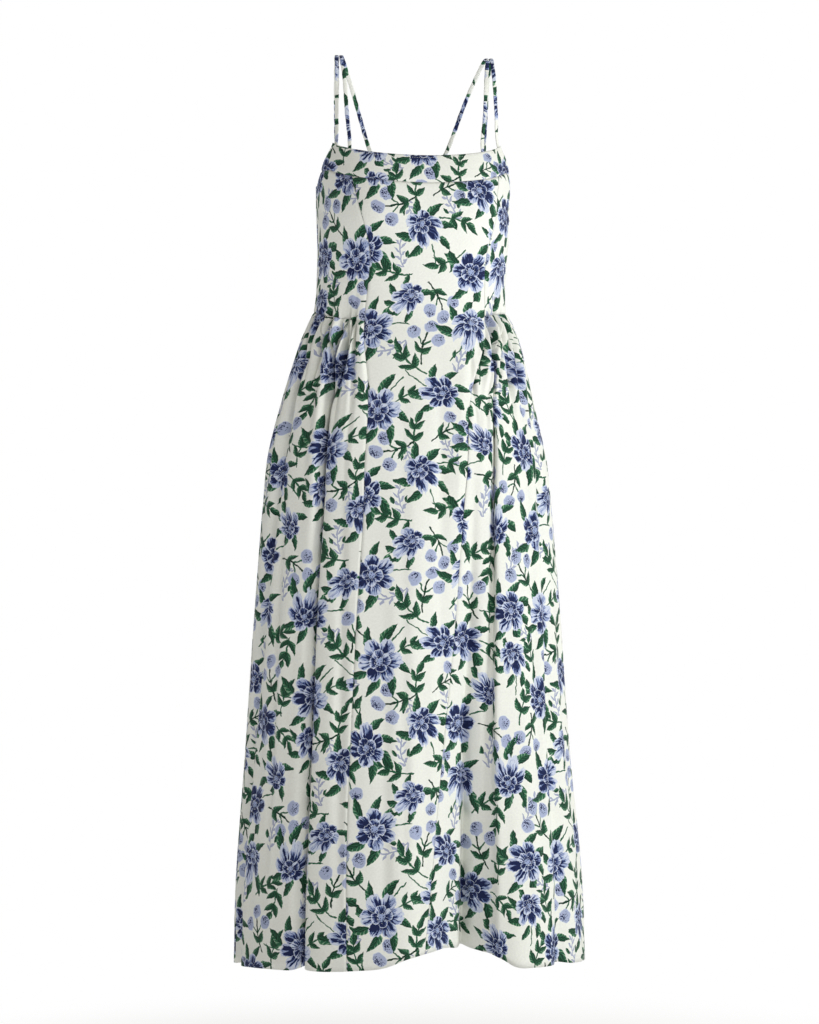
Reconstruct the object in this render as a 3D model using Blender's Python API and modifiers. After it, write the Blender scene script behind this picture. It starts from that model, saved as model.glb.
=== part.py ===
"""A sleeveless midi dress as it hangs when worn: a fitted princess-line bodice with a square neck band,
two pairs of narrow shoulder straps, and a long skirt gathered into the waist at its sides and back.
The front centre panel runs from the neck band to the hem in one piece. A concealed zip closes the back.

Metres. +Z is up and -Y is the front of the dress, so +X is the wearer's left.
The origin lies midway between the tops of the straps, where the wearer's shoulders hold the dress.
A place on the cloth is given by its angle round the body, 0 at centre front and 90 at the left side,
and by its drop, how far it lies below the origin."""

import math
from collections import namedtuple

import bmesh
import bpy
import numpy as np

MM = 0.001

WALL = 1.5 * MM             # the cloth, thickened to a wall that collides
SEAM_GAP = 0.5 * MM         # between two panels sewn edge to edge
LAID_GAP = 0.85 * MM        # between a panel and what is sewn behind it

# The body that the dress stands round, in millimetres: how far the cloth lies from the middle on the
# wearer's right, left, front and back at each drop, and how square that ring is (2 is an ellipse).
Section = namedtuple("Section", "drop right left front back square")
SECTIONS = (
    Section(100, 126, 121, 66, 66, 2.25),
    Section(125, 131, 126, 80, 74, 2.28),
    Section(150, 136, 131, 95, 83, 2.3),
    Section(175, 138, 133, 107, 90, 2.32),
    Section(200, 138, 133, 115, 95, 2.34),
    Section(235, 137, 132, 120, 98, 2.32),
    Section(270, 136, 130, 116, 99, 2.3),
    Section(310, 137, 128, 107, 98, 2.28),
    Section(350, 140, 127, 102, 97, 2.26),
    Section(372, 145, 130, 102, 98, 2.24),
    Section(400, 157, 142, 110, 107, 2.2),
    Section(430, 168, 152, 118, 116, 2.17),
    Section(500, 191, 169, 133, 134, 2.13),
    Section(560, 206, 184, 143, 146, 2.1),
    Section(630, 213, 192, 152, 156, 2.08),
    Section(770, 224, 204, 166, 171, 2.05),
    Section(970, 237, 218, 182, 186, 2.03),
    Section(1170, 251, 237, 196, 198, 2.0),
    Section(1290, 253, 240, 200, 200, 2.0),
)

# The bust fullness that the princess seams are cut for: millimetres proud of the ring.
BUST_DROP, BUST_ANGLE, BUST_OUT = 232, 35, 5
BUST_TALL, BUST_WIDE = 44, 17          # its spread in millimetres down and degrees round

# The two front princess seams, in degrees round the body at each drop.
Seam = namedtuple("Seam", "drop right left")
PRINCESS = (
    Seam(170, -44, 52),
    Seam(196, -41, 48),
    Seam(239, -36, 45),
    Seam(272, -33, 41),
    Seam(372, -33, 40),
    Seam(466, -26, 23),
    Seam(600, -24.5, 16),
    Seam(800, -26.5, 10),
    Seam(1040, -28, 2),
    Seam(1270, -27.5, -4),
)
SIDE_RIGHT, SIDE_LEFT, CENTRE_BACK = -90, 90, 180

# Edges, as a drop for each angle round the body.
Edge = namedtuple("Edge", "angle drop")
WAIST = (
    Edge(-180, 365), Edge(-135, 363), Edge(-90, 361), Edge(-60, 368), Edge(-33, 377),
    Edge(0, 374), Edge(40, 368), Edge(65, 363), Edge(90, 361), Edge(135, 363), Edge(180, 365),
)
HEM = (
    Edge(-180, 1258), Edge(-135, 1261), Edge(-90, 1264), Edge(-60, 1257), Edge(-25, 1250),
    Edge(-16, 1246), Edge(-8, 1237), Edge(4, 1240), Edge(12, 1253), Edge(20, 1254), Edge(26, 1258),
    Edge(34, 1264), Edge(44, 1265), Edge(55, 1262), Edge(72, 1263), Edge(90, 1266), Edge(135, 1262),
    Edge(180, 1258),
)
NECK_CENTRE, NECK_CORNER = 150, 128    # drops of the neckline at centre front and at its corners
CORNER_ANGLE = 62                      # where the neckline turns into the armhole
BAND_END_ANGLE = 74                    # where the band's lower seam meets the armhole
BAND_TALL = 39
UNDERARM_DROP, BACK_TOP_DROP = 184, 198

# The skirt's hanging folds. Each angle and depth is read at the four drops of STATIONS. Before and
# after are how far the fold spreads on its two sides at the hem, and lean is how far the edge after
# it laps back over the fold. All but the angles are in millimetres.
STATIONS = (390, 500, 800, 1262)
Fold = namedtuple("Fold", "name angle depth before after lean")
FOLDS = (
    Fold("right side", (-72, -69, -78, -84), (3, 9, 12, 9), 16, 16, 0),
    Fold("right front", (-60, -43, -42, -45), (6, 22, 34, 46), 30, 10, 9),
    Fold("front valley", (24, 22, 16, 14), (0, 0, 20, 62), 54, 38, 0),
    Fold("front crease", (26, 22, 17, 15), (0, 0, 5, 13), 9, 7, 0),
    Fold("left front", (56, 40, 31, 27), (4, 12, 12, 5), 17, 13, 2),
    Fold("left side", (74, 66, 58, 51), (3, 8, 9, 11), 15, 18, 0),
    Fold("left back side", (98, 104, 106, 109), (3, 16, 30, 42), 24, 15, 4),
    Fold("left back", (124, 127, 130, 133), (2, 10, 20, 27), 20, 24, 0),
    Fold("left of the zip", (147, 151, 154, 158), (2, 12, 27, 45), 17, 26, -4),
    Fold("right of the zip", (-150, -156, -159, -164), (2, 10, 22, 38), 24, 18, 4),
    Fold("right back", (-126, -131, -137, -141), (3, 15, 31, 44), 16, 25, -5),
    Fold("right back side", (-103, -107, -111, -113), (2, 10, 18, 24), 20, 20, 0),
)
HEM_LIFT = 0.27                        # how far a fold draws the hem up, for each bit of its depth
FOLD_RELEASE = 60                      # the drop below the waist seam over which folds open out

# Gathers sewn into the waist seam: how far the fullest stands out from the ring, in millimetres.
GATHER_DEPTH = 5.2
GATHER_OPENS = 20                      # below the seam, where a gather reaches its full depth
GATHER_RUNS = (95, 150)                # how far the shortest runs down, and how much more the longest does
COLUMNS_A_GATHER = 4
GATHERS = {"front_right": 9, "front_left": 8, "back": 12}
FLAT_BY_ZIP = 2                        # columns without gathers beside the zip

BODICE_ROWS, SKIRT_ROWS = 7, 14
SKIRT_ROW_CROWDING = 1.7               # rows lie closer together near the gathers
BODICE_COLUMNS = {"front_right": 10, "front_left": 8, "back": 12, "centre": 14}
BAND_COLUMNS, BAND_ROWS = 26, 2
FINE_STEPS = 240                       # samples along a row when its columns are spaced evenly

# Straps: two each side, cut as flat rouleaux.
STRAP_WIDE, STRAP_THICK = 5.6 * MM, 1.8 * MM
STRAP_TUCK = 14                        # how far an end runs down behind the panel
STRAP_STEPS = 4                        # cross-sections between two points of its route
SHOULDER_X = 106 * MM
SHOULDER_SPREAD = 3.2 * MM             # half the distance between a pair's middles at the shoulder
Strap = namedtuple("Strap", "name side front_angle back_angle spread")
STRAPS = (
    Strap("strap_outer_right", -1, -59.5, -135, 1),
    Strap("strap_inner_right", -1, -46, -168, -1),
    Strap("strap_outer_left", 1, 60.5, 129, 1),
    Strap("strap_inner_left", 1, 40, 166, -1),
)

# Concealed back zip.
ZIP_BOTTOM_DROP = 540
TAPE_HALF_WIDE, TAPE_THICK = 11 * MM, 0.8 * MM
TAPE_ROWS, TAPE_COLUMNS = 16, 4
SLIDER_DROP = 207
SLIDER_WIDE, SLIDER_TALL, SLIDER_THICK = 4.6 * MM, 8 * MM, 2 * MM
SLIDER_GAP = 0.7 * MM
BAIL_WIRE, BAIL_TALL, BAIL_WINDOW = 0.9 * MM, 6.1 * MM, 1.5 * MM
PULL_WIDE, PULL_LONG, PULL_THICK = 4.2 * MM, 17 * MM, 0.9 * MM
PULL_EYE_WIDE, PULL_EYE_LONG = 2.3 * MM, 4.4 * MM

PRINTED_COTTON = ("printed_cotton", (0.90, 0.88, 0.79), 0.75, 0.0)
ZIP_TAPE = ("zip_tape", (0.86, 0.84, 0.76), 0.85, 0.0)
ENAMELLED_ZINC = ("enamelled_zinc", (0.85, 0.83, 0.76), 0.35, 0.0)


def curve_through(xs, ys, at):
    """A smooth curve through the points (xs, ys), read at each place in at and level beyond its ends."""
    xs, ys = np.asarray(xs, float), np.asarray(ys, float)
    at = np.clip(np.asarray(at, float), xs[0], xs[-1])
    slopes = np.gradient(ys, xs)
    i = np.clip(np.searchsorted(xs, at, side="right") - 1, 0, len(xs) - 2)
    span = xs[i + 1] - xs[i]
    t = (at - xs[i]) / span
    rest = 1 - t
    held = (1 + 2 * t) * rest**2 * ys[i] + t**2 * (3 - 2 * t) * ys[i + 1]
    return held + t * rest * span * (rest * slopes[i] - t * slopes[i + 1])


def column_of(table, name):
    return [getattr(row, name) for row in table]


def read(table, name, at):
    """One named column of a table, read at each place in at along the table's first column."""
    return curve_through(column_of(table, table[0]._fields[0]), column_of(table, name), at)


def smoothstep(x):
    x = np.clip(x, 0, 1)
    return x * x * (3 - 2 * x)


def waist_drop(angle):
    return read(WAIST, "drop", angle)


def neck_drop(angle):
    return NECK_CENTRE - (NECK_CENTRE - NECK_CORNER) * (np.abs(angle) / CORNER_ANGLE) ** 2


def band_seam_drop(angle):
    return neck_drop(np.clip(angle, -CORNER_ANGLE, CORNER_ANGLE)) + BAND_TALL


def bodice_top_drop(angle):
    """The band's lower seam across the front, then the armhole down to the side, then the back's edge."""
    turn = np.abs(angle)
    band = band_seam_drop(angle)
    armhole = band + (UNDERARM_DROP - band) * smoothstep((turn - BAND_END_ANGLE) / (90 - BAND_END_ANGLE))
    back = UNDERARM_DROP + (BACK_TOP_DROP - UNDERARM_DROP) * smoothstep((turn - 90) / 90)
    return np.where(turn > 90, back, armhole)


def fold_reach(fold, angle, drop, radius):
    """How much of a fold's depth a place has, from 0 to 1, and the place's distance from the fold."""
    centre = curve_through(STATIONS, fold.angle, drop)
    away = np.radians((angle - centre + 180) % 360 - 180) * radius
    grown = radius / mean_radius(STATIONS[-1])
    spread = np.where(away < 0, fold.before, fold.after) * grown
    return np.exp(-((away / spread) ** 2)), away, fold.after * grown


def mean_radius(drop):
    return sum(read(SECTIONS, side, drop) for side in ("right", "left", "front", "back")) / 4


def hem_drop(angle):
    """The hem's own level, drawn up where a fold carries the cloth inwards."""
    level = read(HEM, "drop", angle)
    radius = mean_radius(STATIONS[-1])
    for fold in FOLDS:
        share, _, _ = fold_reach(fold, angle, STATIONS[-1], radius)
        level = level - HEM_LIFT * fold.depth[-1] * share
    return level


def cloth(angle, drop, out=0.0):
    """Points in metres on the outer face of the cloth, or out metres proud of it, as an (n, 3) array."""
    angle, drop = np.broadcast_arrays(np.asarray(angle, float), np.asarray(drop, float))
    turn = np.radians(angle)
    sine, cosine = np.sin(turn), np.cos(turn)
    wide = np.where(sine < 0, read(SECTIONS, "right", drop), read(SECTIONS, "left", drop))
    deep = np.where(cosine > 0, read(SECTIONS, "front", drop), read(SECTIONS, "back", drop))
    square = read(SECTIONS, "square", drop)
    ring = (np.abs(sine) ** square + np.abs(cosine) ** square) ** (-1 / square)
    x, y = wide * sine * ring, -deep * cosine * ring
    across = np.sign(x) * np.abs(x / wide) ** (square - 1) / wide
    along = np.sign(y) * np.abs(y / deep) ** (square - 1) / deep
    length = np.hypot(across, along)
    across, along = across / length, along / length

    bust = np.exp(-(((np.abs(angle) - BUST_ANGLE) / BUST_WIDE) ** 2) - ((drop - BUST_DROP) / BUST_TALL) ** 2)
    push = BUST_OUT * bust
    slide = np.zeros_like(push)
    radius = mean_radius(drop)
    release = smoothstep((drop - waist_drop(angle)) / FOLD_RELEASE)
    for fold in FOLDS:
        share, away, after = fold_reach(fold, angle, drop, radius)
        depth = curve_through(STATIONS, fold.depth, drop) * release
        push = push - depth * share
        edge = after if fold.lean >= 0 else -fold.before / fold.after * after
        lap = np.exp(-(((away - 1.3 * edge) / (0.9 * edge)) ** 2))
        slide = slide - fold.lean * depth / max(fold.depth) * lap
    push = push + out / MM
    x = x + across * push - along * slide
    y = y + along * push + across * slide
    return np.stack([x, y, -drop], axis=-1) * MM


def uneven(index):
    """A steady but unrepeating share from 0 to 1 for each gather."""
    return (index * 0.61803 + 0.23) % 1.0


def gather_push(columns, below, flat_by):
    """How far each column of a gathered panel stands out from the ring, in metres. The seams at its two
    sides lie in troughs, and flat_by is the column where the zip keeps it flat."""
    place = np.arange(columns + 1)
    which = place // COLUMNS_A_GATHER
    wave = (1 - np.cos(2 * math.pi * place / COLUMNS_A_GATHER)) / 2
    if flat_by is not None:
        wave = wave * np.clip((np.abs(place - flat_by) - FLAT_BY_ZIP + 1) / 2, 0, 1)
    size = GATHER_DEPTH * (0.45 + 0.55 * uneven(which))
    runs = GATHER_RUNS[0] + GATHER_RUNS[1] * uneven(which + 5)
    opened = 0.25 + 0.75 * smoothstep(below / GATHER_OPENS)
    return size * wave * opened * np.exp(-((below / runs) ** 2)) * MM


def seam_right(drop):
    return read(PRINCESS, "right", drop)


def seam_left(drop):
    return read(PRINCESS, "left", drop)


def fixed(angle):
    return lambda drop: np.full_like(np.asarray(drop, float), angle)


def end_of_row(edge, top, bottom, share):
    """The angle at which a row meets a panel's side edge, found by going back and forth between the two."""
    angle = float(edge(bottom(0.0)))
    for _ in range(12):
        drop = top(angle) + (bottom(angle) - top(angle)) * share
        angle = float(edge(drop))
    return angle


def panel_rows(first, last, top, bottom, shares, columns, gathered=False, flat_by=None, out=0.0):
    """Rows of points down a panel between two side edges. Each row's columns are evenly spaced along the
    cloth, as threads are, and its two ends stand half a seam gap short of the edges."""
    rows = []
    for share in shares:
        low = end_of_row(first, top, bottom, share)
        high = end_of_row(last, top, bottom, share)
        angles = np.linspace(low, high, FINE_STEPS)
        drops = top(angles) + (bottom(angles) - top(angles)) * share
        fine = cloth(angles, drops, out)
        walked = np.concatenate([[0], np.cumsum(np.linalg.norm(np.diff(fine, axis=0), axis=1))])
        stops = np.linspace(SEAM_GAP / 2, walked[-1] - SEAM_GAP / 2, columns + 1)
        angles = np.interp(stops, walked, angles)
        drops = top(angles) + (bottom(angles) - top(angles)) * share
        push = out
        if gathered:
            push = out + gather_push(columns, drops - top(angles), flat_by)
        rows.append(cloth(angles, drops, push))
    return rows


def finish(material):
    """The material of that name, made the first time it is asked for."""
    name, colour, roughness, metallic = material
    made = bpy.data.materials.get(name)
    if made is None:
        made = bpy.data.materials.new(name)
        made.use_nodes = True
        shader = made.node_tree.nodes["Principled BSDF"]
        shader.inputs["Base Color"].default_value = (*colour, 1)
        shader.inputs["Roughness"].default_value = roughness
        shader.inputs["Metallic"].default_value = metallic
    return made


def add_object(name, mesh, material, collection, smooth=True):
    if smooth:
        mesh.shade_smooth()
    mesh.materials.append(finish(material))
    made = bpy.data.objects.new(name, mesh)
    collection.objects.link(made)
    return made


def sheet(name, rows, thickness, material, collection):
    """A wall whose outer face passes through the rows of points and which is thickened inwards."""
    points = np.concatenate(rows)
    wide = len(rows[0])
    faces = []
    for j in range(len(rows) - 1):
        for k in range(wide - 1):
            corner = j * wide + k
            faces.append((corner, corner + wide, corner + wide + 1, corner + 1))
    mesh = bpy.data.meshes.new(name)
    mesh.from_pydata(points.tolist(), [], faces)
    made = add_object(name, mesh, material, collection)
    wall = made.modifiers.new("wall", "SOLIDIFY")
    wall.thickness = thickness
    wall.offset = -1
    wall.use_quality_normals = True
    return made


def shares_down(rows, crowding=1.0):
    return (np.arange(rows + 1) / rows) ** crowding


def bodice_bottom(angle):
    return waist_drop(angle)


def skirt_top(angle):
    return waist_drop(angle) + SEAM_GAP / MM


def band_bottom(angle):
    return band_seam_drop(angle) - 1.5 * SEAM_GAP / MM


def neck_band(collection):
    """The straight strip that finishes the neckline. Its ends slope with the armholes."""
    def end(side):
        def angle(drop):
            down = smoothstep((drop - NECK_CORNER) / BAND_TALL)
            return side * (CORNER_ANGLE + (BAND_END_ANGLE - CORNER_ANGLE) * down)
        return angle
    rows = panel_rows(end(-1), end(1), neck_drop, band_bottom, shares_down(BAND_ROWS), BAND_COLUMNS)
    return sheet("neck_band", rows, WALL, PRINTED_COTTON, collection)


def front_centre(collection):
    """One panel from the band's seam to the hem, with no seam at the waist."""
    columns = BODICE_COLUMNS["centre"]
    upper = panel_rows(
        seam_right, seam_left, bodice_top_drop, bodice_bottom, shares_down(BODICE_ROWS), columns)
    lower = panel_rows(
        seam_right, seam_left, skirt_top, hem_drop, shares_down(SKIRT_ROWS, SKIRT_ROW_CROWDING), columns)
    return sheet("front_centre_panel", upper + lower[1:], WALL, PRINTED_COTTON, collection)


def bodice_panel(name, first, last, columns, collection):
    rows = panel_rows(first, last, bodice_top_drop, bodice_bottom, shares_down(BODICE_ROWS), columns)
    return sheet(name, rows, WALL, PRINTED_COTTON, collection)


def skirt_panel(name, first, last, gathers, collection):
    shares = shares_down(SKIRT_ROWS, SKIRT_ROW_CROWDING)
    columns = gathers * COLUMNS_A_GATHER
    by_zip = {-CENTRE_BACK: 0, CENTRE_BACK: columns}
    flat_by = by_zip.get(float(first(0)), by_zip.get(float(last(0))))
    rows = panel_rows(first, last, skirt_top, hem_drop, shares, columns, gathered=True, flat_by=flat_by)
    return sheet(name, rows, WALL, PRINTED_COTTON, collection)


def unit(vector):
    return vector / np.linalg.norm(vector)


def tucked_end(angle, side):
    """A strap's end behind its panel: the lower and upper points, and the way that its width lies."""
    edge = float(neck_drop(angle)) if abs(angle) < 90 else float(bodice_top_drop(angle))
    low, high = cloth(angle, edge + STRAP_TUCK), cloth(angle, edge + 1)
    across = unit(cloth(angle + 1, edge) - cloth(angle - 1, edge))
    inward = unit(np.cross(across, low - high)) * (WALL + LAID_GAP + STRAP_THICK / 2)
    return low + inward, high + inward, across * side * (1 if abs(angle) < 90 else -1)


def strap_route(strap):
    """Points over the shoulder from the front end to the back end, with the way the width lies at each."""
    low_front, high_front, wide_front = tucked_end(strap.front_angle, strap.side)
    low_back, high_back, wide_back = tucked_end(strap.back_angle, strap.side)
    top = np.array([strap.side * (SHOULDER_X + strap.spread * SHOULDER_SPREAD), 0.004, -STRAP_THICK / 2])
    rise, fall = high_front - top, high_back - top
    outward = np.array([strap.side, 0.0, 0.0])
    points = [
        low_front,
        high_front,
        top + rise * 0.62 + np.array([0, -5, 3]) * MM,
        top + rise * 0.28 + np.array([0, -7, 9]) * MM,
        top,
        top + fall * 0.22 + np.array([0, 11, 9]) * MM,
        top + fall * 0.58 + np.array([0, 12, 6]) * MM,
        high_back,
        low_back,
    ]
    widths = [wide_front, wide_front, wide_front + outward, outward, outward]
    widths += [outward, wide_back + outward, wide_back, wide_back]
    return points, widths


def strap(shape, collection):
    """A flat rouleau lofted along its route, one rectangle for each step."""
    points, widths = strap_route(shape)
    stops = np.concatenate([[0], np.cumsum(np.linalg.norm(np.diff(points, axis=0), axis=1))])
    spans = len(points) - 1
    places = np.interp(np.linspace(0, spans, spans * STRAP_STEPS + 1), np.arange(spans + 1), stops)
    path = np.stack([curve_through(stops, column, places) for column in np.array(points).T], axis=-1)
    lying = np.stack([curve_through(stops, column, places) for column in np.array(widths).T], axis=-1)
    rings = bmesh.new()
    before = None
    for i, centre in enumerate(path):
        ahead = unit(path[min(i + 1, len(path) - 1)] - path[max(i - 1, 0)])
        wide = unit(lying[i] - ahead * lying[i].dot(ahead)) * STRAP_WIDE / 2
        thick = unit(np.cross(ahead, wide)) * STRAP_THICK / 2
        corners = (wide + thick, thick - wide, -wide - thick, wide - thick)
        ring = [rings.verts.new(centre + corner) for corner in corners]
        if before is None:
            rings.faces.new(ring[::-1])
        else:
            for a in range(4):
                b = (a + 1) % 4
                rings.faces.new((before[a], before[b], ring[b], ring[a]))
        before = ring
    rings.faces.new(before)
    mesh = bpy.data.meshes.new(shape.name)
    rings.to_mesh(mesh)
    rings.free()
    return add_object(shape.name, mesh, PRINTED_COTTON, collection, smooth=False)


def zip_tape(collection):
    """The zip's two tapes and closed coils as one strip behind the centre back seam."""
    def side(way):
        def angle(drop):
            return CENTRE_BACK + way * np.degrees(TAPE_HALF_WIDE / MM / read(SECTIONS, "back", drop)) * 0.8
        return angle
    def top(angle):
        return bodice_top_drop(CENTRE_BACK) + 2.0 + 0 * np.asarray(angle)
    def bottom(angle):
        return ZIP_BOTTOM_DROP + 0 * np.asarray(angle)
    behind = -(WALL + 2 * LAID_GAP)
    rows = panel_rows(side(-1), side(1), top, bottom, shares_down(TAPE_ROWS), TAPE_COLUMNS, out=behind)
    return sheet("zip_tape", rows, TAPE_THICK, ZIP_TAPE, collection)


def block(name, size, place, collection, helper=False):
    """A box of that size about that place."""
    bpy.ops.mesh.primitive_cube_add(size=1, location=place)
    made = bpy.context.active_object
    made.name = name
    made.data.transform([[size[0], 0, 0, 0], [0, size[1], 0, 0], [0, 0, size[2], 0], [0, 0, 0, 1]])
    for holder in list(made.users_collection):
        holder.objects.unlink(made)
    collection.objects.link(made)
    made.hide_render = helper
    if helper:
        made.display_type = "WIRE"
    return made


def join(target, other, operation):
    cut = target.modifiers.new(other.name, "BOOLEAN")
    cut.operation = operation
    cut.object = other
    cut.solver = "EXACT"


def slider_place():
    """The middle of the slider's inner face."""
    nearest = max(float(cloth(CENTRE_BACK, SLIDER_DROP + d)[1]) for d in (-4, 0, 4))
    return np.array([0.0, nearest + SLIDER_GAP, -SLIDER_DROP * MM])


def pull_axis():
    """Where the pull's crossbar turns, in the window between the slider's face and its bail."""
    return slider_place() + np.array([0.0, SLIDER_THICK + BAIL_WINDOW / 2, 0.0])


def zip_slider(collection, helpers):
    """The slider's body with the bail that holds the pull."""
    inner = slider_place()
    body_place = inner + np.array([0, SLIDER_THICK / 2, 0])
    body = block("zip_slider", (SLIDER_WIDE, SLIDER_THICK, SLIDER_TALL), body_place, collection)
    reach = BAIL_WINDOW + BAIL_WIRE + 0.4 * MM
    bail_place = inner + np.array([0, SLIDER_THICK - 0.4 * MM + reach / 2, 0])
    bail = block("bail", (BAIL_WIRE, reach, BAIL_TALL), bail_place, helpers, helper=True)
    window_size = (3 * BAIL_WIRE, BAIL_WINDOW, BAIL_TALL - 2 * BAIL_WIRE)
    window = block("bail_window", window_size, pull_axis(), helpers, helper=True)
    join(body, bail, "UNION")
    join(body, window, "DIFFERENCE")
    body.data.materials.append(finish(ENAMELLED_ZINC))
    return body


def rounded_outline(spline, wide, high, low):
    """Sets a closed spline to a strip with a round lower end, in the pull's own X and Y."""
    turns = [math.pi * (1 + i / 8) for i in range(9)]
    points = [(wide / 2 * math.cos(a), low + wide / 2 + wide / 2 * math.sin(a)) for a in turns]
    points += [(wide / 2, high), (-wide / 2, high)]
    spline.points.add(len(points) - len(spline.points))
    for point, (x, y) in zip(spline.points, points):
        point.co = (x, y, 0, 1)
    spline.use_cyclic_u = True


def zip_pull(collection):
    """The pull: a flat tab with an eye, cut so that its crossbar lies on the object's own origin."""
    shape = bpy.data.curves.new("zip_pull", "CURVE")
    shape.dimensions = "2D"
    shape.fill_mode = "BOTH"
    shape.extrude = PULL_THICK / 2
    bar = PULL_THICK / 2
    rounded_outline(shape.splines.new("POLY"), PULL_WIDE, bar, bar - PULL_LONG)
    rounded_outline(shape.splines.new("POLY"), PULL_EYE_WIDE, -bar, -bar - PULL_EYE_LONG)
    shape.materials.append(finish(ENAMELLED_ZINC))
    made = bpy.data.objects.new("zip_pull", shape)
    made.location = pull_axis()
    made.rotation_euler = (math.radians(90), 0, 0)
    collection.objects.link(made)
    return made


def clear_scene():
    for old in list(bpy.data.objects):
        bpy.data.objects.remove(old, do_unlink=True)


def main():
    clear_scene()
    dress = bpy.data.collections.new("midi_dress")
    helpers = bpy.data.collections.new("cutters")
    bpy.context.scene.collection.children.link(dress)
    bpy.context.scene.collection.children.link(helpers)

    neck_band(dress)
    front_centre(dress)
    right, left = fixed(SIDE_RIGHT), fixed(SIDE_LEFT)
    back_right, back_left = fixed(-CENTRE_BACK), fixed(CENTRE_BACK)
    bodice_panel("front_side_bodice_right", right, seam_right, BODICE_COLUMNS["front_right"], dress)
    bodice_panel("front_side_bodice_left", seam_left, left, BODICE_COLUMNS["front_left"], dress)
    bodice_panel("back_bodice_right", back_right, right, BODICE_COLUMNS["back"], dress)
    bodice_panel("back_bodice_left", left, back_left, BODICE_COLUMNS["back"], dress)
    skirt_panel("front_side_skirt_right", right, seam_right, GATHERS["front_right"], dress)
    skirt_panel("front_side_skirt_left", seam_left, left, GATHERS["front_left"], dress)
    skirt_panel("back_skirt_right", back_right, right, GATHERS["back"], dress)
    skirt_panel("back_skirt_left", left, back_left, GATHERS["back"], dress)
    for shape in STRAPS:
        strap(shape, dress)
    zip_tape(dress)
    zip_slider(dress, helpers)
    zip_pull(dress)


main()
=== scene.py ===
"""The looks of a floral midi dress: its cloth, print, stitching, straps and zip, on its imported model.

Metres, +Z up, and -Y is the front of the dress. A place on the cloth is given by its angle round the body,
0 at centre front and 90 at the wearer's left side, and by its drop, how far it lies below the origin."""

import math
from collections import namedtuple
from functools import partialmethod

import bpy
import numpy as np
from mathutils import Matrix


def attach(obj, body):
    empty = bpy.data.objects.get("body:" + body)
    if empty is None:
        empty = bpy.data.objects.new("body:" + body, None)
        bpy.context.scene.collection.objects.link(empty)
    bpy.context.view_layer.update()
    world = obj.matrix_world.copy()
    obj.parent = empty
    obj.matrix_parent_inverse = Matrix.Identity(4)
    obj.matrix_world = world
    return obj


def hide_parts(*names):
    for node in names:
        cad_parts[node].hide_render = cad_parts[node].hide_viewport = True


bl_info = {
    "name": "Floral midi dress",
    "version": (1, 0, 0),
    "blender": (4, 5, 0),
    "location": "3D View > Sidebar > Dress",
    "description": "Dresses a packed midi dress in printed cotton, with its stitching, zip and studio",
    "category": "Object",
}

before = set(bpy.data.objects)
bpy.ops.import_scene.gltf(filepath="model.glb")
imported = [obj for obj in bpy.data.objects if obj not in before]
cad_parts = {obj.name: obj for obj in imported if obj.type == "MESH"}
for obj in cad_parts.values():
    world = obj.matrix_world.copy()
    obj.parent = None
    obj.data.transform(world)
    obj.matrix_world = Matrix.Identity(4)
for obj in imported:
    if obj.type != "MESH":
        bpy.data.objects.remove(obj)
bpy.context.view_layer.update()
MM = 0.001


# The form of the cloth, in millimetres and degrees

# The body that the dress stands round: how far the cloth lies from the middle on the wearer's right,
# left, front and back at each drop, and how square that ring is (2 is an ellipse).
Section = namedtuple("Section", "drop right left front back square")
SECTIONS = (
    Section(100, 126, 121, 66, 66, 2.25),
    Section(125, 131, 126, 80, 74, 2.28),
    Section(150, 136, 131, 95, 83, 2.3),
    Section(175, 138, 133, 107, 90, 2.32),
    Section(200, 138, 133, 115, 95, 2.34),
    Section(235, 137, 132, 120, 98, 2.32),
    Section(270, 136, 130, 116, 99, 2.3),
    Section(310, 137, 128, 107, 98, 2.28),
    Section(350, 140, 127, 102, 97, 2.26),
    Section(372, 145, 130, 102, 98, 2.24),
    Section(400, 157, 142, 110, 107, 2.2),
    Section(430, 168, 152, 118, 116, 2.17),
    Section(500, 191, 169, 133, 134, 2.13),
    Section(560, 206, 184, 143, 146, 2.1),
    Section(630, 213, 192, 152, 156, 2.08),
    Section(770, 224, 204, 166, 171, 2.05),
    Section(970, 237, 218, 182, 186, 2.03),
    Section(1170, 251, 237, 196, 198, 2.0),
    Section(1290, 253, 240, 200, 200, 2.0),
)
BUST_DROP, BUST_ANGLE, BUST_OUT = 232, 35, 5
BUST_TALL, BUST_WIDE = 44, 17

Seam = namedtuple("Seam", "drop right left")
PRINCESS = (
    Seam(170, -44, 52),
    Seam(196, -41, 48),
    Seam(239, -36, 45),
    Seam(272, -33, 41),
    Seam(372, -33, 40),
    Seam(466, -26, 23),
    Seam(600, -24.5, 16),
    Seam(800, -26.5, 10),
    Seam(1040, -28, 2),
    Seam(1270, -27.5, -4),
)

Edge = namedtuple("Edge", "angle drop")
WAIST = (
    Edge(-180, 365), Edge(-135, 363), Edge(-90, 361), Edge(-60, 368), Edge(-33, 377),
    Edge(0, 374), Edge(40, 368), Edge(65, 363), Edge(90, 361), Edge(135, 363), Edge(180, 365),
)
HEM = (
    Edge(-180, 1258), Edge(-135, 1261), Edge(-90, 1264), Edge(-60, 1257), Edge(-25, 1250),
    Edge(-16, 1246), Edge(-8, 1235), Edge(4, 1235), Edge(12, 1245), Edge(20, 1244), Edge(24, 1243),
    Edge(28.5, 1252), Edge(36, 1254), Edge(44, 1255), Edge(55, 1257), Edge(72, 1262), Edge(90, 1266),
    Edge(135, 1262), Edge(180, 1258),
)
NECK_CENTRE, NECK_CORNER = 150, 128
CORNER_ANGLE, BAND_END_ANGLE, BAND_TALL = 62, 74, 39
UNDERARM_DROP, BACK_TOP_DROP = 184, 198

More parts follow.
